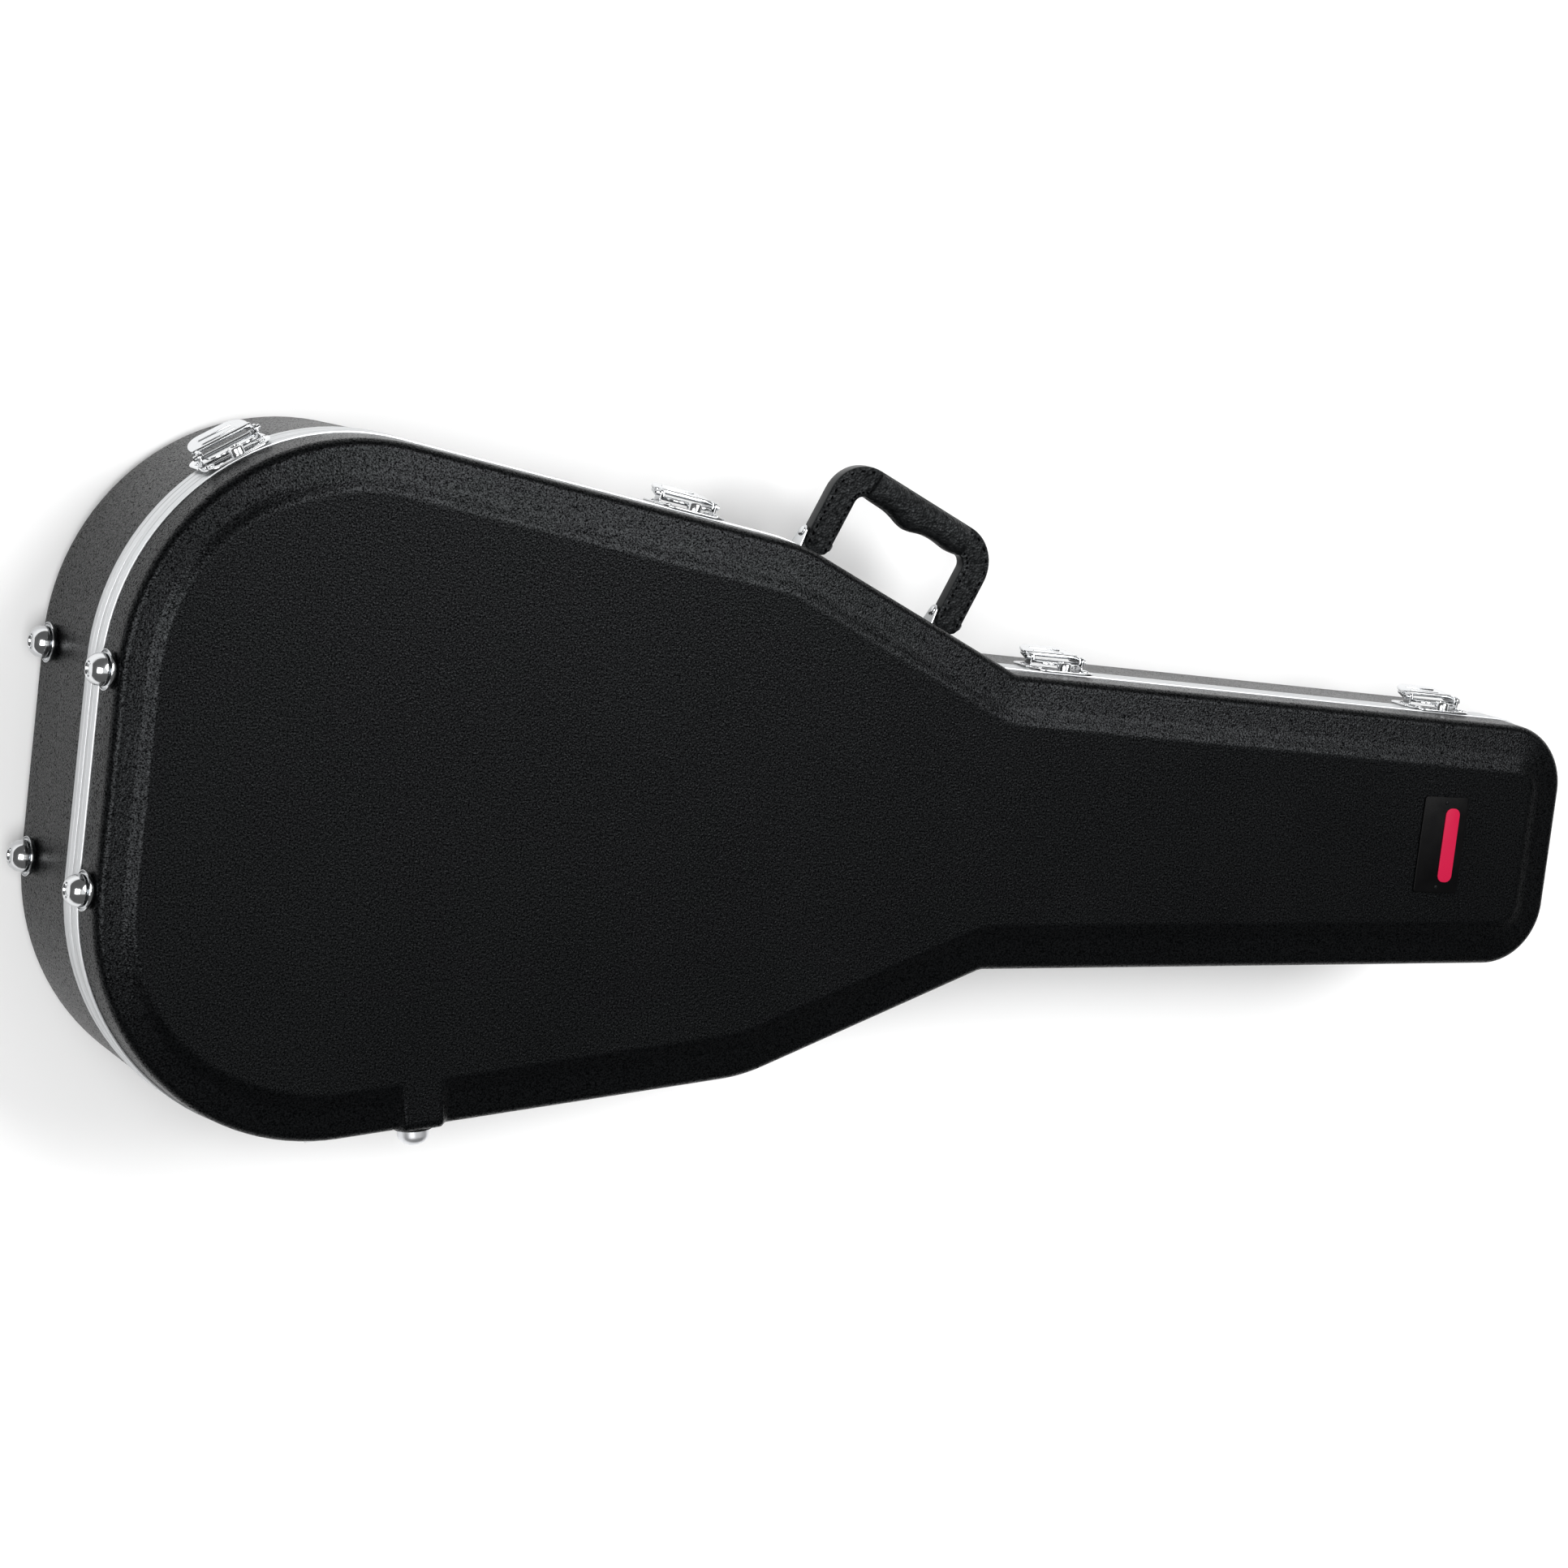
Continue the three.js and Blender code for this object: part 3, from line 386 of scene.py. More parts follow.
def skin_rows(half):
    """The shell's outer surface, ring by ring, with the boss blended in."""
    weights = [boss_weight(x, y) for x, y, nx, ny in OUTLINE]
    edge = edge_inset(half)
    # The band narrows where the outline faces the butt end, from this much of it over this range.
    facing_from, facing_range = 0.25, 0.7
    rows = []
    for plain, boss in face_rows(half):
        row = []
        for (x, y, nx, ny), weight in zip(OUTLINE, weights):
            narrowing = BUTT_NARROWING * smoothstep((-nx - facing_from) / facing_range)
            inset = plain[0] - max(0.0, plain[0] - edge) * narrowing
            inset += (boss[0] - inset) * weight
            distance = plain[1] + (boss[1] - plain[1]) * weight
            row.append((x - nx * inset, y - ny * inset, PARTING_Z + half["side"] * distance))
        rows.append(row)
    return rows


def inner_rows(half):
    """The shell's inner surface, from the rim back to the face, a wall's thickness inside."""
    edge, rim = half["edge"], half["rim"]
    points = [
        (wall_inset(half, rim) + SHELL_WALL, rim),
        (wall_inset(half, edge - 10) + SHELL_WALL, edge - 10),
        (wall_inset(half, edge - 3) + SHELL_WALL + 3, edge - SHELL_WALL - 0.6),
        (STEP_FOOT + 0.7, edge + BAND_RISE - SHELL_WALL),
        (STEP_HEAD + 1.2, edge + BAND_RISE + STEP_RISE - SHELL_WALL),
    ]
    return [ring(inset, PARTING_Z + half["side"] * d) for inset, d in points]


# ---- materials ----

def material(name, color, roughness, metallic=0.0, specular=0.5, tint=(1, 1, 1)):
    """A node material and its shader."""
    made = bpy.data.materials.new(name)
    made.use_nodes = True
    shader = made.node_tree.nodes["Principled BSDF"]
    shader.inputs["Base Color"].default_value = (*color, 1)
    shader.inputs["Roughness"].default_value = roughness
    shader.inputs["Metallic"].default_value = metallic
    shader.inputs["Specular IOR Level"].default_value = specular
    shader.inputs["Specular Tint"].default_value = (*tint, 1)
    return made, shader


def link(made, source, target):
    made.node_tree.links.new(source, target)


def node(made, kind, **settings):
    """A new shader node. A setting is a socket to link from, an input's value or a property."""
    new = made.node_tree.nodes.new(kind)
    for key, value in settings.items():
        if isinstance(value, bpy.types.NodeSocket):
            link(made, value, new.inputs[key])
        elif key in new.inputs:
            new.inputs[key].default_value = value
        else:
            setattr(new, key, value)
    return new


def coordinates(made, stretch=(1, 1, 1)):
    """Object coordinates in metres, scaled by stretch."""
    place = node(made, "ShaderNodeTexCoord").outputs["Object"]
    return node(made, "ShaderNodeMapping", Vector=place, Scale=stretch).outputs["Vector"]


def noise(made, vector, scale, detail=3.0, roughness=0.5):
    new = node(made, "ShaderNodeTexNoise", Vector=vector, Scale=scale, Detail=detail, Roughness=roughness)
    return new.outputs["Fac"]


def cells(made, vector, scale):
    return node(made, "ShaderNodeTexVoronoi", Vector=vector, Scale=scale).outputs["Distance"]


def ramp(made, source, low, high, value_low, value_high):
    """Source from low to high, remapped to value_low to value_high."""
    return node(made, "ShaderNodeMapRange", **{
        "Value": source, "From Min": low, "From Max": high, "To Min": value_low, "To Max": value_high,
    }).outputs["Result"]


def mixed_color(made, shader, factor, first, second):
    """Base colour between two colours, by a factor from 0 to 1."""
    new = node(made, "ShaderNodeMix", data_type="RGBA")
    ends = [socket for socket in new.inputs if socket.type == "RGBA"]
    for socket, color in zip(ends, (first, second)):
        socket.default_value = (*color, 1)
    link(made, factor, new.inputs[0])
    result = next(socket for socket in new.outputs if socket.type == "RGBA")
    link(made, result, shader.inputs["Base Color"])


def bump(made, shader, height, strength, distance, below=None):
    """Bump from a height, laid over the bump below it."""
    new = node(made, "ShaderNodeBump", Height=height, Strength=strength, Distance=distance)
    if below is not None:
        link(made, below, new.inputs["Normal"])
    link(made, new.outputs["Normal"], shader.inputs["Normal"])
    return new.outputs["Normal"]


COOL = (0.92, 0.97, 1.0)


def shell_plastic():
    """Black ABS with a pebbled mould grain about 1.3 mm across, whose crowns are polished by use."""
    made, shader = material("shell_plastic", (0.0015, 0.0016, 0.0018), 0.31, tint=COOL)
    vector = coordinates(made)
    grain = cells(made, vector, 760)
    fine = noise(made, vector, 1500, 2)
    broad = noise(made, vector, 11)
    glint = noise(made, vector, 860, 3, 0.6)
    low = bump(made, shader, grain, 0.45, 0.0003)
    bump(made, shader, fine, 0.3, 0.0002, low)
    link(made, ramp(made, broad, 0.3, 0.7, 0.29, 0.34), shader.inputs["Roughness"])
    link(made, ramp(made, glint, 0.38, 0.62, 0.0, 0.21), shader.inputs["Specular IOR Level"])
    mixed_color(made, shader, ramp(made, glint, 0.38, 0.62, 0, 1),
                (0.0008, 0.0009, 0.0010), (0.0022, 0.0024, 0.0027))
    return made


def rim_metal():
    """Extruded aluminium, satin, with fine drawing lines that run round the case."""
    made, shader = material("rim_metal", (0.53, 0.54, 0.55), 0.38, metallic=1.0)
    vector = coordinates(made, (1, 1, 60))
    lines = noise(made, vector, 60)
    smudge = noise(made, coordinates(made), 9)
    link(made, ramp(made, smudge, 0.3, 0.7, 0.35, 0.44), shader.inputs["Roughness"])
    bump(made, shader, lines, 0.08, 0.0002)
    return made


def chrome():
    """Polished plating with faint unevenness and handling haze."""
    made, shader = material("chrome", (0.60, 0.61, 0.62), 0.14, metallic=1.0)
    vector = coordinates(made)
    haze = noise(made, vector, 70, 4)
    ripple = noise(made, vector, 180, 2)
    link(made, ramp(made, haze, 0.35, 0.75, 0.11, 0.20), shader.inputs["Roughness"])
    bump(made, shader, ripple, 0.05, 0.0003)
    return made


def satin_metal():
    """Tumbled plating: a soft grey sheen with faint pitting."""
    made, shader = material("satin_metal", (0.70, 0.71, 0.73), 0.40, metallic=1.0)
    vector = coordinates(made)
    link(made, ramp(made, noise(made, vector, 220), 0.3, 0.7, 0.36, 0.46), shader.inputs["Roughness"])
    bump(made, shader, noise(made, vector, 900), 0.2, 0.0002)
    return made


def plush():
    """Short black pile: soft sheen, tufts and brushed patches."""
    made, shader = material("plush", (0.02, 0.02, 0.022), 0.95, specular=0.2)
    vector = coordinates(made)
    tufts = noise(made, vector, 900)
    patches = noise(made, vector, 16, 4)
    shader.inputs["Sheen Weight"].default_value = 0.6
    shader.inputs["Sheen Roughness"].default_value = 0.5
    bump(made, shader, tufts, 0.8, 0.0012)
    mixed_color(made, shader, ramp(made, patches, 0.35, 0.65, 0, 1),
                (0.012, 0.012, 0.014), (0.036, 0.036, 0.040))
    return made


def ribbon():
    """Ribbed grosgrain."""
    made, shader = material("ribbon", (0.02, 0.02, 0.022), 0.6, specular=0.4)
    ribs = node(made, "ShaderNodeTexWave", Vector=coordinates(made), Scale=420, Distortion=0.4)
    bump(made, shader, ribs.outputs["Fac"], 0.5, 0.0003)
    return made


def leather():
    """Black pebbled leather with creases and worn high spots."""
    made, shader = material("leather", (0.004, 0.0043, 0.0045), 0.42, tint=COOL)
    vector = coordinates(made)
    pebble = cells(made, vector, 560)
    crease = noise(made, vector, 240, 5, 0.65)
    wear = noise(made, vector, 38, 4)
    low = bump(made, shader, pebble, 0.9, 0.0007)
    bump(made, shader, crease, 0.7, 0.0008, low)
    link(made, ramp(made, wear, 0.35, 0.7, 0.48, 0.34), shader.inputs["Roughness"])
    link(made, ramp(made, crease, 0.35, 0.65, 0.02, 0.30), shader.inputs["Specular IOR Level"])
    mixed_color(made, shader, ramp(made, wear, 0.4, 0.7, 0, 1),
                (0.0026, 0.0028, 0.0030), (0.0056, 0.0060, 0.0063))
    return made


def plain_finish(name, color, roughness, grain, strength, specular=0.1):
    """A smooth finish with a fine surface grain."""
    made, shader = material(name, color, roughness, specular=specular)
    vector = coordinates(made)
    bump(made, shader, noise(made, vector, grain), strength, 0.0002)
    link(made, ramp(made, noise(made, vector, 60), 0.3, 0.7, roughness - 0.05, roughness + 0.07),
         shader.inputs["Roughness"])
    return made


def painted_edge():
    """The strap's edge: layers of leather burnished and painted, smoother than its faces."""
    made, shader = material("painted_edge", (0.004, 0.0043, 0.0047), 0.32, specular=0.24, tint=COOL)
    layers = noise(made, coordinates(made, (1, 1, 9)), 90)
    link(made, ramp(made, layers, 0.3, 0.7, 0.30, 0.38), shader.inputs["Roughness"])
    bump(made, shader, noise(made, coordinates(made), 420), 0.15, 0.0002)
    return made


SHELL = shell_plastic()
RIM_METAL = rim_metal()
CHROME = chrome()
SATIN = satin_metal()
PLUSH = plush()
RIBBON = ribbon()
LEATHER = leather()
EDGE_PAINT = painted_edge()
RUBBER = plain_finish("rubber", (0.0015, 0.0015, 0.0017), 0.5, 900, 0.3)
THREAD = plain_finish("thread", (0.0008, 0.0008, 0.0010), 0.8, 3000, 0.3, 0.01)
BADGE_BLACK = plain_finish("badge_black", (0.0012, 0.0012, 0.0014), 0.34, 900, 0.15)
BADGE_RED = plain_finish("badge_red", (0.42, 0.010, 0.045), 0.3, 500, 0.08)
DARK_METAL = plain_finish("dark_metal", (0.004, 0.004, 0.0045), 0.4, 500, 0.1)


# ---- shells and rims ----

def shells():
    for name, half, body in HALVES:
        rows = skin_rows(half) + inner_rows(half)
        make(f"{name}_shell_skin", [loft(rows)], SHELL, body, [f"{name}_shell"],
             flat_angle=60)


def band_profile(half):
    """The rim's section as (inset, distance from the parting plane), with rounded outer edges and a
    fine groove along its middle. The lid's has a tongue, which drops into a channel in the base's."""
    height, flange, inner = RIM["height"], RIM["flange"], RIM["inner"]
    soft, parting, line, clear = 0.45, 0.15, 6.3, 0.5
    web = half["rim"] - 0.3
    outer = [(soft, parting), (0.12, parting + 0.13), (0.0, parting + soft)]
    outer += [(0.0, line - 0.4), (0.35, line - 0.15), (0.35, line + 0.15), (0.0, line + 0.4)]
    outer += [(0.0, height - soft), (0.13, height - 0.13), (soft, height), (flange, height)]
    outer += [(flange, web), (inner, web), (inner, parting)]
    tongue_in, tongue_out = RIM["tongue"]
    if half is LID:
        tip = -RIM["depth"]
        return outer + [
            (tongue_out, parting), (tongue_out, tip + 0.3), (tongue_out - 0.3, tip),
            (tongue_in + 0.3, tip), (tongue_in, tip + 0.3), (tongue_in, parting),
        ]
    floor = web - RIM["web"]
    return outer + [
        (tongue_out + clear, parting), (tongue_out + clear, floor),
        (tongue_in - clear, floor), (tongue_in - clear, parting),
    ]


def rims():
    for name, half, body in HALVES:
        rows = [ring(inset, PARTING_Z + half["side"] * distance) for inset, distance in band_profile(half)]
        make(f"{name}_valance_band", [loft(rows, closed=True)], RIM_METAL, body, [f"{name}_valance"],
             flat_angle=30)


# ---- placing what stands on the side ----

def wall_matrix(origin, out, lean=0.0):
    """Local X along the side, local Y up and local Z out of it, at a point in millimetres."""
    along = UP.cross(out).normalized()
    basis = Matrix((along, UP, out)).transposed().to_4x4()
    return Matrix.Translation(origin * MM) @ basis @ Matrix.Rotation(-lean, 4, "X")


def latch_matrix(place):
    """A latch's frame, whose origin lies on the parting plane, from its lever's joint."""
    joint = JOINTS[f"latch_{place}_lever_pivot"]
    along = -Vector(joint["axis"]).normalized()
    out = along.cross(UP)
    pivot = Vector(joint["pos_m"]) / MM
    return wall_matrix(pivot - out * PIVOT_OUT - UP * PIVOT_UP, out)


# ---- latches ----

def ear(x0):
    """An upright tab from x0 on, with a round head about the lever's pivot."""
    radius, thick = 3.2, 1.4
    left, right = PIVOT_UP - radius, PIVOT_UP + radius
    outline = [(left - 2.8, 1.0), (right - 0.6, 1.0), (right, PIVOT_OUT)]
    outline += arc(PIVOT_UP, PIVOT_OUT, radius, 12, 168, 12) + [(left, PIVOT_OUT)]
    return sidewise(plate(outline, 0, thick, 0.2, 0.2), x0)


def rivet_head(u, v, base, radius, height):
    """A domed rivet head standing on a plate, with a short upright edge."""
    edge, top = base + 0.25 * height, base + height
    profile = [(AXIS, base), (radius, base), (radius, edge)]
    profile += domed(radius, edge, top, (20, 40, 60, 78)) + [(AXIS, top)]
    return moved(lathe(profile, 24), (u, v, 0))


def latch_plate_parts():
    """The fixed half on the base rim: a half-round plate, two pivot ears and two rivets."""
    return [
        plate(rounded(-LATCH_HALF, LATCH_HALF, -26, -1.2, 11, 2), 0.3, 1.7, 0.2, 0.55),
        *[ear(x0) for x0 in (20.2, -21.6)],
        *[rivet_head(u, -12.5, 1.6, 2.2, 1.2) for u in (20.5, -20.5)],
    ]


def latch_lever_parts():
    """The lever: a flared finger plate in two tiers with raised lines, a rolled upper edge, cheeks and
    the two barrels that it turns on."""
    half, cheek_thick = 21, 1.4
    tilt = Matrix.Rotation(-FLARE, 3, "X")
    tiers = [
        plate(rounded(-half, half, -FINGER, 0, 12, 0.5, 12), -0.7, 0.8, 0.3, 0.6, 5),
        plate(rounded(-18.8, 18.8, -FINGER + 1.8, -0.8, 10.4, 0.5, 12), -2.3, -0.5, 0.4, 0.2),
    ]
    tiers += [plate(rounded(-12.5, 12.5, v - 0.55, v + 0.55, 0.5, 0.5, 4), 0.6, 1.35, 0.1, 0.35)
              for v in (-9.8, -3.4)]
    cheek = [(-20, 11.0), (-20, 8), (-8, 3.6), (-4, 4.6), (-1.6, 5.8), (-1.1, 7.5), (-1.9, 9.5), (-4, 10.4),
             (EDGE_UP, EDGE_OUT + 1)]
    return [
        *[moved(part, (0, EDGE_UP, EDGE_OUT), tilt) for part in tiers],
        rod(-half - 0.2, half + 0.2, EDGE_UP, EDGE_OUT, 1.75, 0.95),
        *[sidewise(plate(cheek, 0, cheek_thick, 0.2, 0.2), x0) for x0 in (18.2, -18.2 - cheek_thick)],
        *[rod(x0, x0 + 5.8, PIVOT_UP, PIVOT_OUT, 1.8, 0.9) for x0 in (18.4, -24.2)],
    ]


def link_outline():
    """The link's outline: half-round towards the keeper, with a notch round the keeper's post."""
    notch = 5.8
    mouth = math.degrees(math.asin(2 / notch))
    right = [(17.4, LINK_UP), (17.4, -1), (16.6, 2.2), (14.4, 4.8), (11.6, 6.3), (9, 7)]
    left = [(-u, v) for u, v in reversed(right)]
    return right + arc(0, POST_UP, notch, -mouth, -180 + mouth, 16)[1:-1] + left


def latch_link_parts():
    """The link: a flat plate on the bar that it turns about."""
    return [
        plate(link_outline(), LINK_OUT - 0.7, LINK_OUT + 0.7, 0.25, 0.5),
        rod(-17.7, 17.7, LINK_UP, LINK_OUT, 1.6),
    ]


def latch_keeper_parts():
    """The keeper on the lid rim: a half-round plate with a round post and two rivets."""
    post = [(AXIS, 1), (5, 1), (5, 5.9), (4.7, 6.6), (4.2, 7.0), (3.0, 7.0), (2.7, 6.2), (AXIS, 6.2)]
    return [
        plate(rounded(-LATCH_HALF, LATCH_HALF, 0.8, 15.5, 2, 11), 0.3, 1.6, 0.2, 0.5),
        moved(lathe(post, 32), (0, POST_UP, 0)),
        *[rivet_head(u, 6.5, 1.5, 2.6, 1.5) for u in (18.5, -18.5)],
    ]


def latches():
    built = {
        "plate": (latch_plate_parts, "case_base"),
        "lever": (latch_lever_parts, "lever_{}"),
        "link": (latch_link_parts, "link_{}"),
        "keeper": (latch_keeper_parts, "lid"),
    }
    for place in LATCHES:
        seat = latch_matrix(place)
        for part, (parts, body) in built.items():
            name = f"latch_{place}_{part}"
            make(f"{name}_metal", parts(), CHROME, body.format(place), [name], seat)


# ---- feet ----

def ball_foot_parts():
    """A ball with a ringed recess in its flat end, in a cup whose thin rim stands free of it."""
    radius, flange, height = FOOT["radius"], FOOT["flange"], FOOT["height"]
    cup = [
        (AXIS, 0.3), (flange - 3.2, 0.3), (flange - 1.3, 0.9), (flange - 0.3, 2.3), (flange, 3.9),
        (flange - 0.15, 4.3), (flange - 0.45, 4.2), (flange - 0.8, 2.9), (flange - 1.8, 1.7),
    ]
    centre, foot = 6.4, 1.5
    start = math.degrees(math.asin((foot - centre) / radius))
    end = math.degrees(math.asin((height - 0.2 - centre) / radius))
    recess = [
        (5.7, height), (5.3, height), (4.9, height - 0.4), (4.7, height - 1.4), (3.5, height - 1.7),
        (3.1, height - 1.1), (1.5, height - 0.7), (AXIS, height - 0.6),
    ]
    return [lathe(cup + arc(0, centre, radius, start, end, 24) + recess, 56)]


def dome_foot_parts():
    """A plain round-ended dome, standing on its washer."""
    radius, height, low = SPINE_FOOT["radius"], SPINE_FOOT["height"], SPINE_FOOT["thick"] + 0.3
    shoulder = height - 7.2
    profile = [(AXIS, low), (radius - 0.3, low), (radius, low + 0.3), (radius, shoulder)]
    profile += domed(radius, shoulder, height, range(6, 88, 6)) + [(AXIS, height)]
    return [lathe(profile, 56)]


def washer_parts():
    """The rubber washer between the dome and the shell."""
    radius, high = SPINE_FOOT["washer"], SPINE_FOOT["thick"] + 0.3
    profile = [(AXIS, 0.3), (radius - 0.3, 0.3), (radius, 0.6)]
    profile += [(radius, high - 0.4), (radius - 0.4, high), (AXIS, high)]
    return [lathe(profile, 48)]


def feet():
    out = Vector((-1, 0, 0))
    for name, half, body in HALVES:
        lean = half["side"] * math.atan(half["draft"])
        z = PARTING_Z + half["side"] * half["foot"]
        for place, y in (("handle_side", FOOT["butt_y"]), ("spine_side", -FOOT["butt_y"])):
            origin = Vector((-LENGTH / 2, y, z)) - out * wall_inset(half, half["foot"])
            make(f"{name}_foot_{place}_ball", ball_foot_parts(), CHROME, body, [f"{name}_foot_{place}"],
                 wall_matrix(origin, out, lean))
        z = PARTING_Z + half["side"] * half["spine_foot"]
        seat = wall_matrix(Vector((BOSS_SEAT.x, BOSS_SEAT.y, z)) - BOSS_OUT * BOSS["inset"], BOSS_OUT)
        make(f"{name}_spine_foot_dome", dome_foot_parts(), SATIN, body, [f"{name}_spine_foot"],
             seat)
        make(f"{name}_spine_foot_washer", washer_parts(), RUBBER, body, [f"{name}_spine_foot"],
             seat)


# ---- handle ----

def handle_matrix():
    """The handle's frame: X along the shoulder, Y out from the pivots, Z up."""
    joint = JOINTS["handle_swing"]
    along = Vector(joint["axis"]).normalized()
    basis = Matrix((along, UP.cross(along), UP)).transposed().to_4x4()
    return Matrix.Translation(Vector(joint["pos_m"])) @ basis


def handle_path():
    """Centreline of the strap as (x, y, along x, along y), from the butt leg round to the neck leg."""
    half = HANDLE["width"] / 2 - HANDLE["leg"] / 2
    top = HANDLE["height"] - HANDLE["leg"] / 2
    bend = HANDLE["corner"] - HANDLE["leg"] / 2
    foot = HANDLE["foot"]
    leg_steps, bend_steps, top_steps = 16, 14, 20
    leg = [(-half, foot + (top - bend - foot) * i / leg_steps, 0, 1) for i in range(leg_steps + 1)]
    for i in range(1, bend_steps + 1):
        angle = math.pi - math.pi / 2 * i / bend_steps
        leg.append((-half + bend + bend * math.cos(angle), top - bend + bend * math.sin(angle),
                    math.sin(angle), -math.cos(angle)))
    run = half - bend
    middle = [(-run + 2 * run * i / top_steps, top, 1, 0) for i in range(1, top_steps)]
    return leg + middle + [(-x, y, dx, -dy) for x, y, dx, dy in reversed(leg)]


def superellipse(half_a, half_b, power, count):
    """A rounded rectangle's section, squarer the higher its power."""
    points = []
    for i in range(count):
        angle = math.tau * i / count
        c, s = math.cos(angle), math.sin(angle)
        points.append((
            half_a * math.copysign(abs(c) ** (2 / power), c),
            half_b * math.copysign(abs(s) ** (2 / power), s),
        ))
    return points


def strap_parts():
    """The flat stitched strap that makes both legs and runs on inside the grip, with closed ends."""
    path = handle_path()
    closing = (0.55, 0.86, 0.97)
    rows = []
    for i, (x, y, dx, dy) in enumerate(path):
        end = min(i, len(path) - 1 - i)
        close = closing[end] if end < len(closing) else 1.0
        section = superellipse(HANDLE["leg"] / 2 * close, HANDLE["thick"] / 2 * close, 9, 44)
        rows.append([(x + a * -dy, y + a * dx, b) for a, b in section])
    return [loft(rows)]


def grip_parts():
    """The padded wrap: deepest at the palm, a small second swell by its neck end, and folded ends."""
    length, top, depth = HANDLE["wrap"], HANDLE["height"], 21.6
    steps, end_size = 56, 0.84
    rows = []
    for i in range(-steps, steps + 1):
        x = length * i / steps
        share = abs(i) / steps
        swell = math.sqrt(1 - share ** 10)
        palm = 4.2 * math.exp(-((x + 4) / 12) ** 2)
        second = 1.2 * math.exp(-((x - 33) / 8) ** 2)
        half_y = (depth + palm + second) / 2 * (0.94 + 0.06 * swell)
        half_z = HANDLE["grip"] / 2 * (end_size + (1 - end_size) * swell)
        fold = smoothstep((share - 0.75) / 0.25)
        section = superellipse(half_y, half_z, 2.6, 40)
        rows.append([(x - math.copysign(0.16, x) * a * fold, top - half_y + a, b) for a, b in section])
    return [loft(rows)]


def stitch(x, y, z, dx, dy, length):
    """One thread lying along (dx, dy) at a point of the leather, dipping in at both ends."""
    width = 0.75
    rows = []
    for i in range(7):
        t = i / 6 * 2 - 1
        bulge = math.sqrt(max(0.0, 1 - t * t))
        lift = width * (0.75 * bulge - 0.35)
        size = width * (0.55 + 0.45 * bulge)
        row = []
        for k in range(8):
            angle = math.tau * k / 8
            across = size * math.cos(angle)
            height = size * math.sin(angle) * 0.8
            row.append((x + dx * t * length / 2 - dy * across, y + dy * t * length / 2 + dx * across,
                        z + math.copysign(1, z) * (lift + height)))
        rows.append(row)
    return loft(rows)


def handle_stitches():
    """Two rows of thread on both faces of each leg, 3.2 mm in from its edges, shorter on the outer
    edge. None where the wrap covers the strap, or below the pivots."""
    path = handle_path()
    face = HANDLE["thick"] / 2 - 0.1
    row = HANDLE["leg"] / 2 - 3.2
    pitch, wrapped, low = 4.2, 38, -4
    parts = []
    for side in (1, -1):
        for offset, length in ((-row, 2.1), (row, 2.8)):
            travelled, mark = 0.0, 0.0
            for (x0, y0, *_), (x, y, dx, dy) in zip(path, path[1:]):
                travelled += math.dist((x0, y0), (x, y))
                if travelled < mark or abs(x) < wrapped or y < low:
                    continue
                mark = travelled + pitch
                parts.append(stitch(x - offset * dy, y + offset * dx, side * face, dx, dy, length))
    return parts


def bracket_parts():
    """A bracket on the shell: a plate with two screws and a round-headed ear on the leg's butt side."""
    head, pivot = 5, HANDLE["out"]
    outline = [(-8, 0.6), (8, 0.6), (head, pivot)]
    outline += arc(0, pivot, head, 8, 172, 16) + [(-head, pivot)]
    return [
        plate(rounded(-18.5, 18.5, -12, 12, 4, 4), -1.3, 0.9, 0.2, 0.5),
        sidewise(plate(outline, 0, 1.5, 0.3, 0.3), HANDLE["leg"] / 2 + 1),
        *[rivet_head(u, 0, 0.8, 2.4, 1.3) for u in (15.0, -15.0)],
    ]


def handle_rivet_parts():
    """The rivet through a leg and its ear, with a domed head at each end."""
    reach = HANDLE["leg"] / 2 + 2.8
    back = HANDLE["leg"] / 2 + 0.9
    dome = [(AXIS, 0), (3.4, 0), (3.3, 0.5), (2.6, 1.1), (1.4, 1.4), (AXIS, 1.45)]
    to_neck = Matrix(((0, 0, -1), (1, 0, 0), (0, 1, 0)))
    return [
        rod(-back, reach, 0, 0, 2),
        moved(lathe(dome, 28), (reach - 0.1, 0, 0), ALONG_X),
        moved(lathe(dome, 28), (0.1 - back, 0, 0), to_neck),
    ]


def handle():
    seat = handle_matrix()
    strap = make("handle_strap", strap_parts(), LEATHER, "handle", ["handle_grip"],
                 seat, 40)
    strap.data.materials.append(EDGE_PAINT)
    for face in strap.data.polygons:
        if abs(face.normal.z) < 0.6:
            face.material_index = 1
    make("handle_wrap", grip_parts(), LEATHER, "handle", ["handle_grip"], seat, 60)
    make("handle_stitching", handle_stitches(), THREAD, "handle", (), seat, 80)
    along, out = (seat.to_3x3().col[i].normalized() for i in (0, 1))
    pivot = seat.translation / MM
    leg_centre = (HANDLE["width"] - HANDLE["leg"]) / 2
    for place, end in (("butt", -1), ("neck", 1)):
        at = pivot + along * end * leg_centre
        bracket, rivet = f"handle_bracket_{place}", f"handle_rivet_{place}"
        make(f"{bracket}_metal", bracket_parts(), CHROME, "case_base", [bracket],
             wall_matrix(at - out * HANDLE["out"], out))
        make(f"{rivet}_metal", handle_rivet_parts(), CHROME, "case_base", [rivet],
             wall_matrix(at, out))


# ---- badge ----

def on_lid(name):
    """Half length, half width, thickness and frame of a CAD piece that lies flat on the lid."""
    low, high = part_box(name)
    centre = (low + high) / 2
    size = (high - low) / MM
    return size.x / 2, size.y / 2, size.z, Matrix.Translation(Vector((centre.x, centre.y, low.z)))


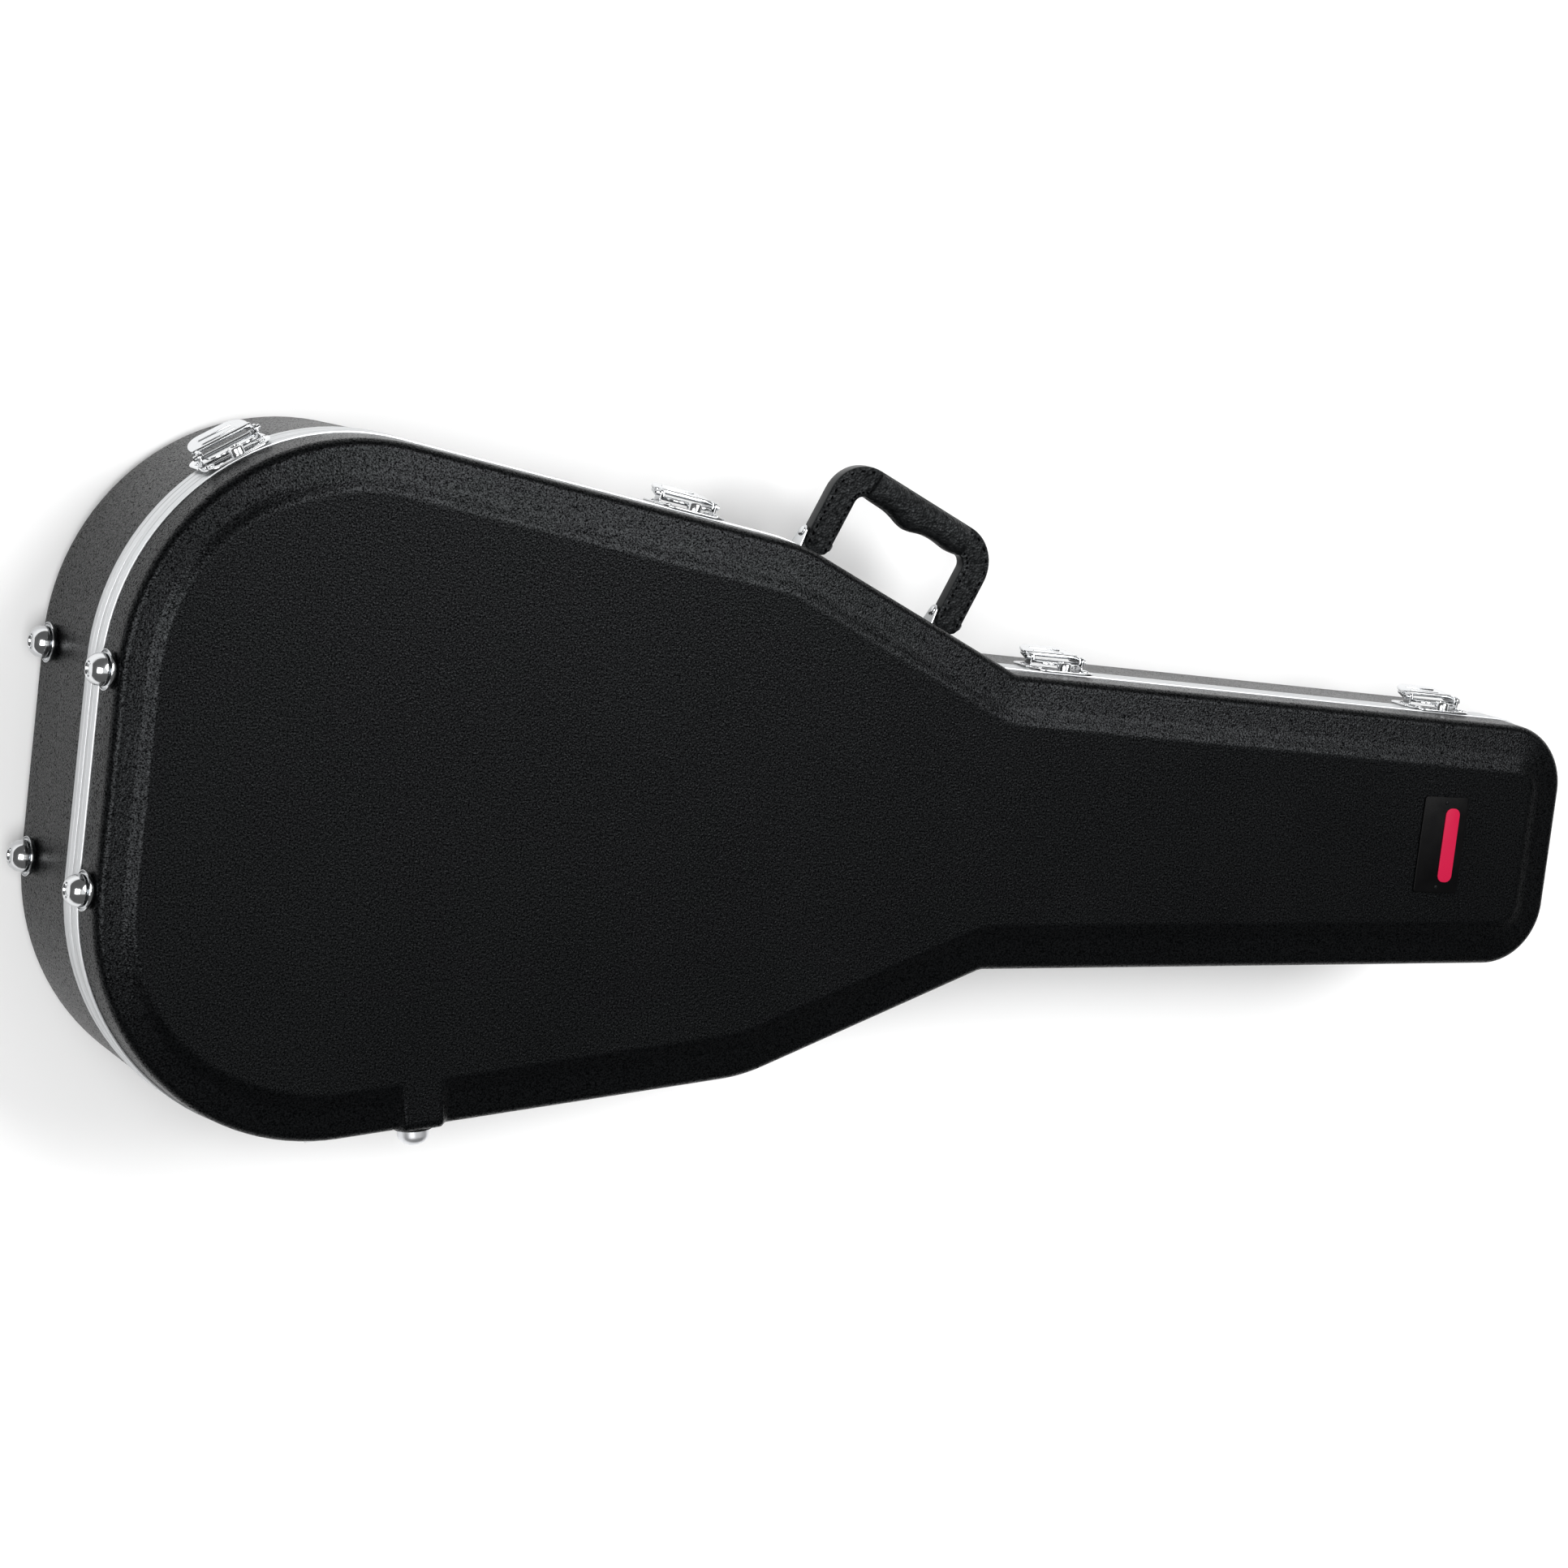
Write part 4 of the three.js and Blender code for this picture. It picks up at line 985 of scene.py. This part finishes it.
def badge():
    """A plain plate with two rivets and a generic bar, with no lettering."""
    half_x, half_y, thick, place = on_lid("badge_plate")
    outline = rounded(-half_x, half_x, -half_y, half_y, 2.2, 2.2)
    make("badge_plate_face", [plate(outline, 0, thick, 0.1, 0.4)], BADGE_BLACK, "lid", ["badge_plate"],
         place)
    rivets = [rivet_head(0, end * (half_y - 4.2), thick - 0.1, 1.5, 0.8) for end in (-1, 1)]
    make("badge_rivets", rivets, DARK_METAL, "lid", (), place)
    half_x, half_y, thick, place = on_lid("badge_emblem")
    bar = plate(rounded(-half_x, half_x, -half_y, half_y, 5, 5), 0, thick, 0.1, 0.3)
    make("badge_emblem_bar", [bar], BADGE_RED, "lid", ["badge_emblem"], place)


# ---- hinges ----

def hinges():
    """The CAD hinges keep their shape and take a bevel and the chrome."""
    for name, part in frame["nodes"].items():
        if not name.startswith("hinge_"):
            continue
        part.data.materials.clear()
        part.data.materials.append(CHROME)
        edge = part.modifiers.new("edge", "BEVEL")
        edge.width = 0.25 * MM
        edge.segments = 2
        edge.limit_method = "ANGLE"
        edge.angle_limit = math.radians(40)


# ---- lining ----

def soft_profile(points, roll):
    """A chain of points with each inner corner rounded into an arc-like run."""
    steps = 6
    result = [points[0]]
    for before, here, after in zip(points, points[1:], points[2:]):
        here = Vector(here)
        a, b = Vector(before) - here, Vector(after) - here
        reach = min(roll, a.length / 2.2, b.length / 2.2)
        start, end = here + a.normalized() * reach, here + b.normalized() * reach
        for i in range(steps + 1):
            t = i / steps
            spot = start * (1 - t) ** 2 + here * 2 * t * (1 - t) + end * t ** 2
            result.append((spot.x, spot.y))
    result.append(points[-1])
    return result


def dense(points, step):
    """A chain of points with more put in between, about a step apart."""
    result = [points[0]]
    for (x0, y0), (x1, y1) in zip(points, points[1:]):
        parts = max(1, round(math.dist((x0, y0), (x1, y1)) / step))
        result += [(x0 + (x1 - x0) * k / parts, y0 + (y1 - y0) * k / parts) for k in range(1, parts + 1)]
    return result


def rumple(part, amount):
    """Small uneven swells, as foam under cloth has: broad ones, and finer ones on them."""
    broad, fine = 46, 17
    vertices, faces = part
    result = []
    for x, y, z in vertices:
        spot = Vector((x, y, z))
        swell = mnoise.noise(spot / broad) * amount + mnoise.noise(spot / fine) * amount * 0.35
        result.append((x, y, z + swell))
    return result, faces


def side_pads(half):
    """The CAD's four side pads of one half."""
    return [f"{half}_{part}_pad_{side}_side" for part in ("body", "neck") for side in ("spine", "handle")]


def lining(half, outer, inner, roll, swell, body, flat_pad):
    """A padded tray from its sections as (inset, z), with a rolled inside. It stands for the flat pad
    and the four side pads of its half."""
    rows = [ring(inset, z) for inset, z in reversed(outer)]
    rows += [ring(inset, z) for inset, z in dense(soft_profile(inner, roll), 7)]
    piece = make(f"{half}_lining", [rumple(loft(rows), swell)], PLUSH, body, [flat_pad, *side_pads(half)],
                 flat_angle=75)


def base_lining():
    """The base's tray: a rolled lip, walls, and a floor with a seam channel round it."""
    outer = [(4.3, 115.1), (4.4, 110), (10.6, 12), (16, 9.2), (29, 7.7), (37, 3.3)]
    wall, floor = PAD["wall"], PAD["floor"]
    inner = [
        (5.0, 115.2), (12, 117.4), (wall - 1.0, 114), (wall, 104), (wall + 2.6, 36),
        (wall + 5.5, floor + 6), (wall + 8.4, floor - 1.2), (wall + 11, floor + 0.6),
        (wall + 19, floor + 0.9), (wall + 27, floor + 0.3),
    ]
    lining("base", outer, inner, 9, 0.55, "case_base", "base_floor_pad")


def lid_lining():
    """The lid's tray, with a seam channel round its ceiling."""
    outer = [(4.4, 123), (4.6, 130), (7, 155), (16, 159), (28, 161), (37, 165.2)]
    wall, ceiling = PAD["wall"], PAD["ceiling"]
    inner = [
        (5.0, 123.0), (12, 121.8), (wall - 0.5, 126), (wall + 2.2, ceiling - 8),
        (wall + 7, ceiling + 0.8), (wall + 10, ceiling - 0.8), (wall + 27, ceiling - 0.6),
    ]
    lining("lid", outer, inner, 7, 0.45, "lid", "lid_ceiling_pad")


def pillow(outline, x0, x1, inset):
    """A padded slab across X whose two faces pull in all round, from the seam in its edge."""
    steps = 9
    angles = [math.pi / 2 * i / steps for i in range(steps + 1)]
    levels = [(inset * (1 - math.sin(a)), x0 + inset * (1 - math.cos(a)) * 0.5) for a in angles]
    levels += [(inset * (1 - math.cos(a)), x1 - inset * (1 - math.sin(a)) * 0.5) for a in angles[1:]]
    return loft([[(x, y, z) for y, z in shrunk(outline, ins)] for ins, x in levels])


def neck_rest():
    """The block that holds the guitar's neck, with a round notch in its top."""
    low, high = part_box("neck_rest")
    half, top, floor = high.y / MM, high.z / MM, low.z / MM
    corner, lip, notch, notch_floor = 8, 6, 31.0, 72.0
    outline = [(-half, floor), (half, floor), (half, top - corner)]
    outline += arc(half - corner, top - corner, corner, 10, 90, 6)
    outline += [(notch + 8, top), *domed(notch, top - lip, notch_floor, range(0, 181, 12))]
    outline.append((-notch - 8, top))
    outline += arc(corner - half, top - corner, corner, 90, 170, 6) + [(-half, top - corner)]
    part = pillow(unique(outline), low.x / MM, high.x / MM, 3.5)
    piece = make("neck_rest_pad", [part], PLUSH, "case_base", ["neck_rest"], flat_angle=70)


def box_rings(box, profile, taper, smallest):
    """Rings round a CAD box, drawn in by (inset, z), whose corners tighten to a smallest radius."""
    low, high = (corner / MM for corner in box)
    rings = []
    for inset, z in profile:
        radius = max(smallest, 4 - inset * taper)
        outline = rounded(low.x + inset, high.x - inset, low.y + inset, high.y - inset, radius, radius, 5)
        rings.append([(x, y, z) for x, y in outline])
    return rings


def compartment():
    """The accessory box with soft padded walls, its padded flap and its ribbon pull."""
    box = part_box("compartment_box")
    wall, z0, z1 = 5.0, box[0].z / MM, box[1].z / MM
    profile = [(0, z0), (0, z1 - 2.4), (0.6, z1 - 0.8), (wall / 2, z1 - 0.1), (wall - 0.6, z1 - 0.8),
               (wall, z1 - 2.4), (wall + 0.4, z0 + wall + 2), (wall + 3, z0 + wall)]
    piece = make("compartment_walls", [loft(box_rings(box, profile, 0.4, 1.0))], PLUSH, "case_base",
                 ["compartment_box"], flat_angle=70)
    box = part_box("compartment_flap")
    z0, z1 = box[0].z / MM, box[1].z / MM
    profile = [(1.2, z0), (0.1, z0 + 1.2), (0, z0 + 2), (0.6, z1 - 0.9), (2.2, z1 - 0.1), (5, z1 + 0.25),
               (14, z1 + 0.7)]
    piece = make("compartment_lid", [loft(box_rings(box, profile, 0.2, 1.5))], PLUSH, "compartment_flap",
                 ["compartment_flap"], flat_angle=70)
    low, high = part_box("compartment_pull_tab")
    make("pull_ribbon_loop", ribbon_loop(low / MM, high / MM), RIBBON, "compartment_flap",
         ["compartment_pull_tab"], flat_angle=70)


def ribbon_loop(low, high):
    """A ribbon lying on the flap that lifts into a small rounded loop at its free end."""
    half_thick, base, end = 0.35, low.z + 0.8, low.x
    path = [(high.x, base), (end + 8, base), (end + 3.6, base + 1.4), (end + 1.2, base + 4.6),
            (end + 1.6, base + 7.4), (end + 3.8, base + 7.9), (end + 5.2, base + 5.6),
            (end + 6.2, base + 2.2), (end + 9, base + 0.7)]
    path = dense(soft_profile(path, 2.2), 1.2)
    rows = []
    for i, (x, z) in enumerate(path):
        before, after = path[max(0, i - 1)], path[min(len(path) - 1, i + 1)]
        run = Vector((after[0] - before[0], after[1] - before[1])).normalized()
        nx, nz = -run.y * half_thick, run.x * half_thick
        rows.append([(x + nx, low.y, z + nz), (x + nx, high.y, z + nz),
                     (x - nx, high.y, z - nz), (x - nx, low.y, z - nz)])
    return [loft(rows)]


# ---- stage, light and camera ----

def stage():
    """A plain pale floor."""
    made, shader = material("floor_white", (0.93, 0.93, 0.93), 0.9, specular=0.1)
    broad = noise(made, coordinates(made), 2.0, 2)
    mixed_color(made, shader, ramp(made, broad, 0.3, 0.7, 0, 1), [0.925] * 3, [0.935] * 3)
    mesh = bpy.data.meshes.new("floor")
    half = 12.0
    corners = [(-half, -half, 0), (half, -half, 0), (half, half, 0), (-half, half, 0)]
    mesh.from_pydata(corners, [], [(0, 1, 2, 3)])
    floor = bpy.data.objects.new("floor", mesh)
    floor.location.z = -0.0005
    bpy.context.scene.collection.objects.link(floor)
    floor.data.materials.append(made)


def aimed(name, data, aim, azimuth, elevation, distance, roll=0.0):
    """A lamp or camera that looks at a point, from an azimuth that runs from +X towards +Y and an
    elevation, rolled about its view. Angles are in degrees."""
    a, e = math.radians(azimuth), math.radians(elevation)
    back = Vector((math.cos(a) * math.cos(e), math.sin(a) * math.cos(e), math.sin(e)))
    turn = Matrix.Rotation(math.radians(roll), 3, "Z").to_quaternion()
    new = bpy.data.objects.new(name, data)
    new.location = Vector(aim) + back * distance
    new.rotation_mode = "QUATERNION"
    new.rotation_quaternion = (-back).to_track_quat("-Z", "Y") @ turn
    bpy.context.scene.collection.objects.link(new)
    return new


def area_light(name, azimuth, elevation, power):
    """A large square lamp that shines on the middle of the case."""
    data = bpy.data.lights.new(name, "AREA")
    data.size = 2.4
    data.energy = power
    aimed(name, data, (0, 0, 0.1), azimuth, elevation, 4.2)


def lights():
    """Two large soft lamps high over the butt end and the neck's handle side, a faint one overhead,
    and a faint sky."""
    world = bpy.data.worlds.new("studio")
    world.use_nodes = True
    sky = world.node_tree.nodes["Background"]
    sky.inputs["Color"].default_value = (1, 1, 1, 1)
    sky.inputs["Strength"].default_value = 0.15
    bpy.context.scene.world = world
    area_light("butt_key", 180, 58, 142)
    area_light("neck_key", 45, 57, 152)
    area_light("overhead", 0, 84, 16)
    bpy.context.scene.view_settings.view_transform = "Standard"


CAMERA = {"aim": (-0.0844, 0.0208, 0.1639), "azimuth": 164.12, "elevation": 60.52, "distance": 3.1935,
          "roll": 110.81}
LENS = 109.9


def camera():
    """The photograph's viewing angle: looking down at the case, and rolled about the view."""
    data = bpy.data.cameras.new("camera")
    data.lens = LENS
    data.sensor_width = 36
    bpy.context.scene.camera = aimed("camera", data, **CAMERA)


camera()
shells()
rims()
latches()
feet()
handle()
badge()
hinges()
base_lining()
lid_lining()
neck_rest()
compartment()
stage()
lights()
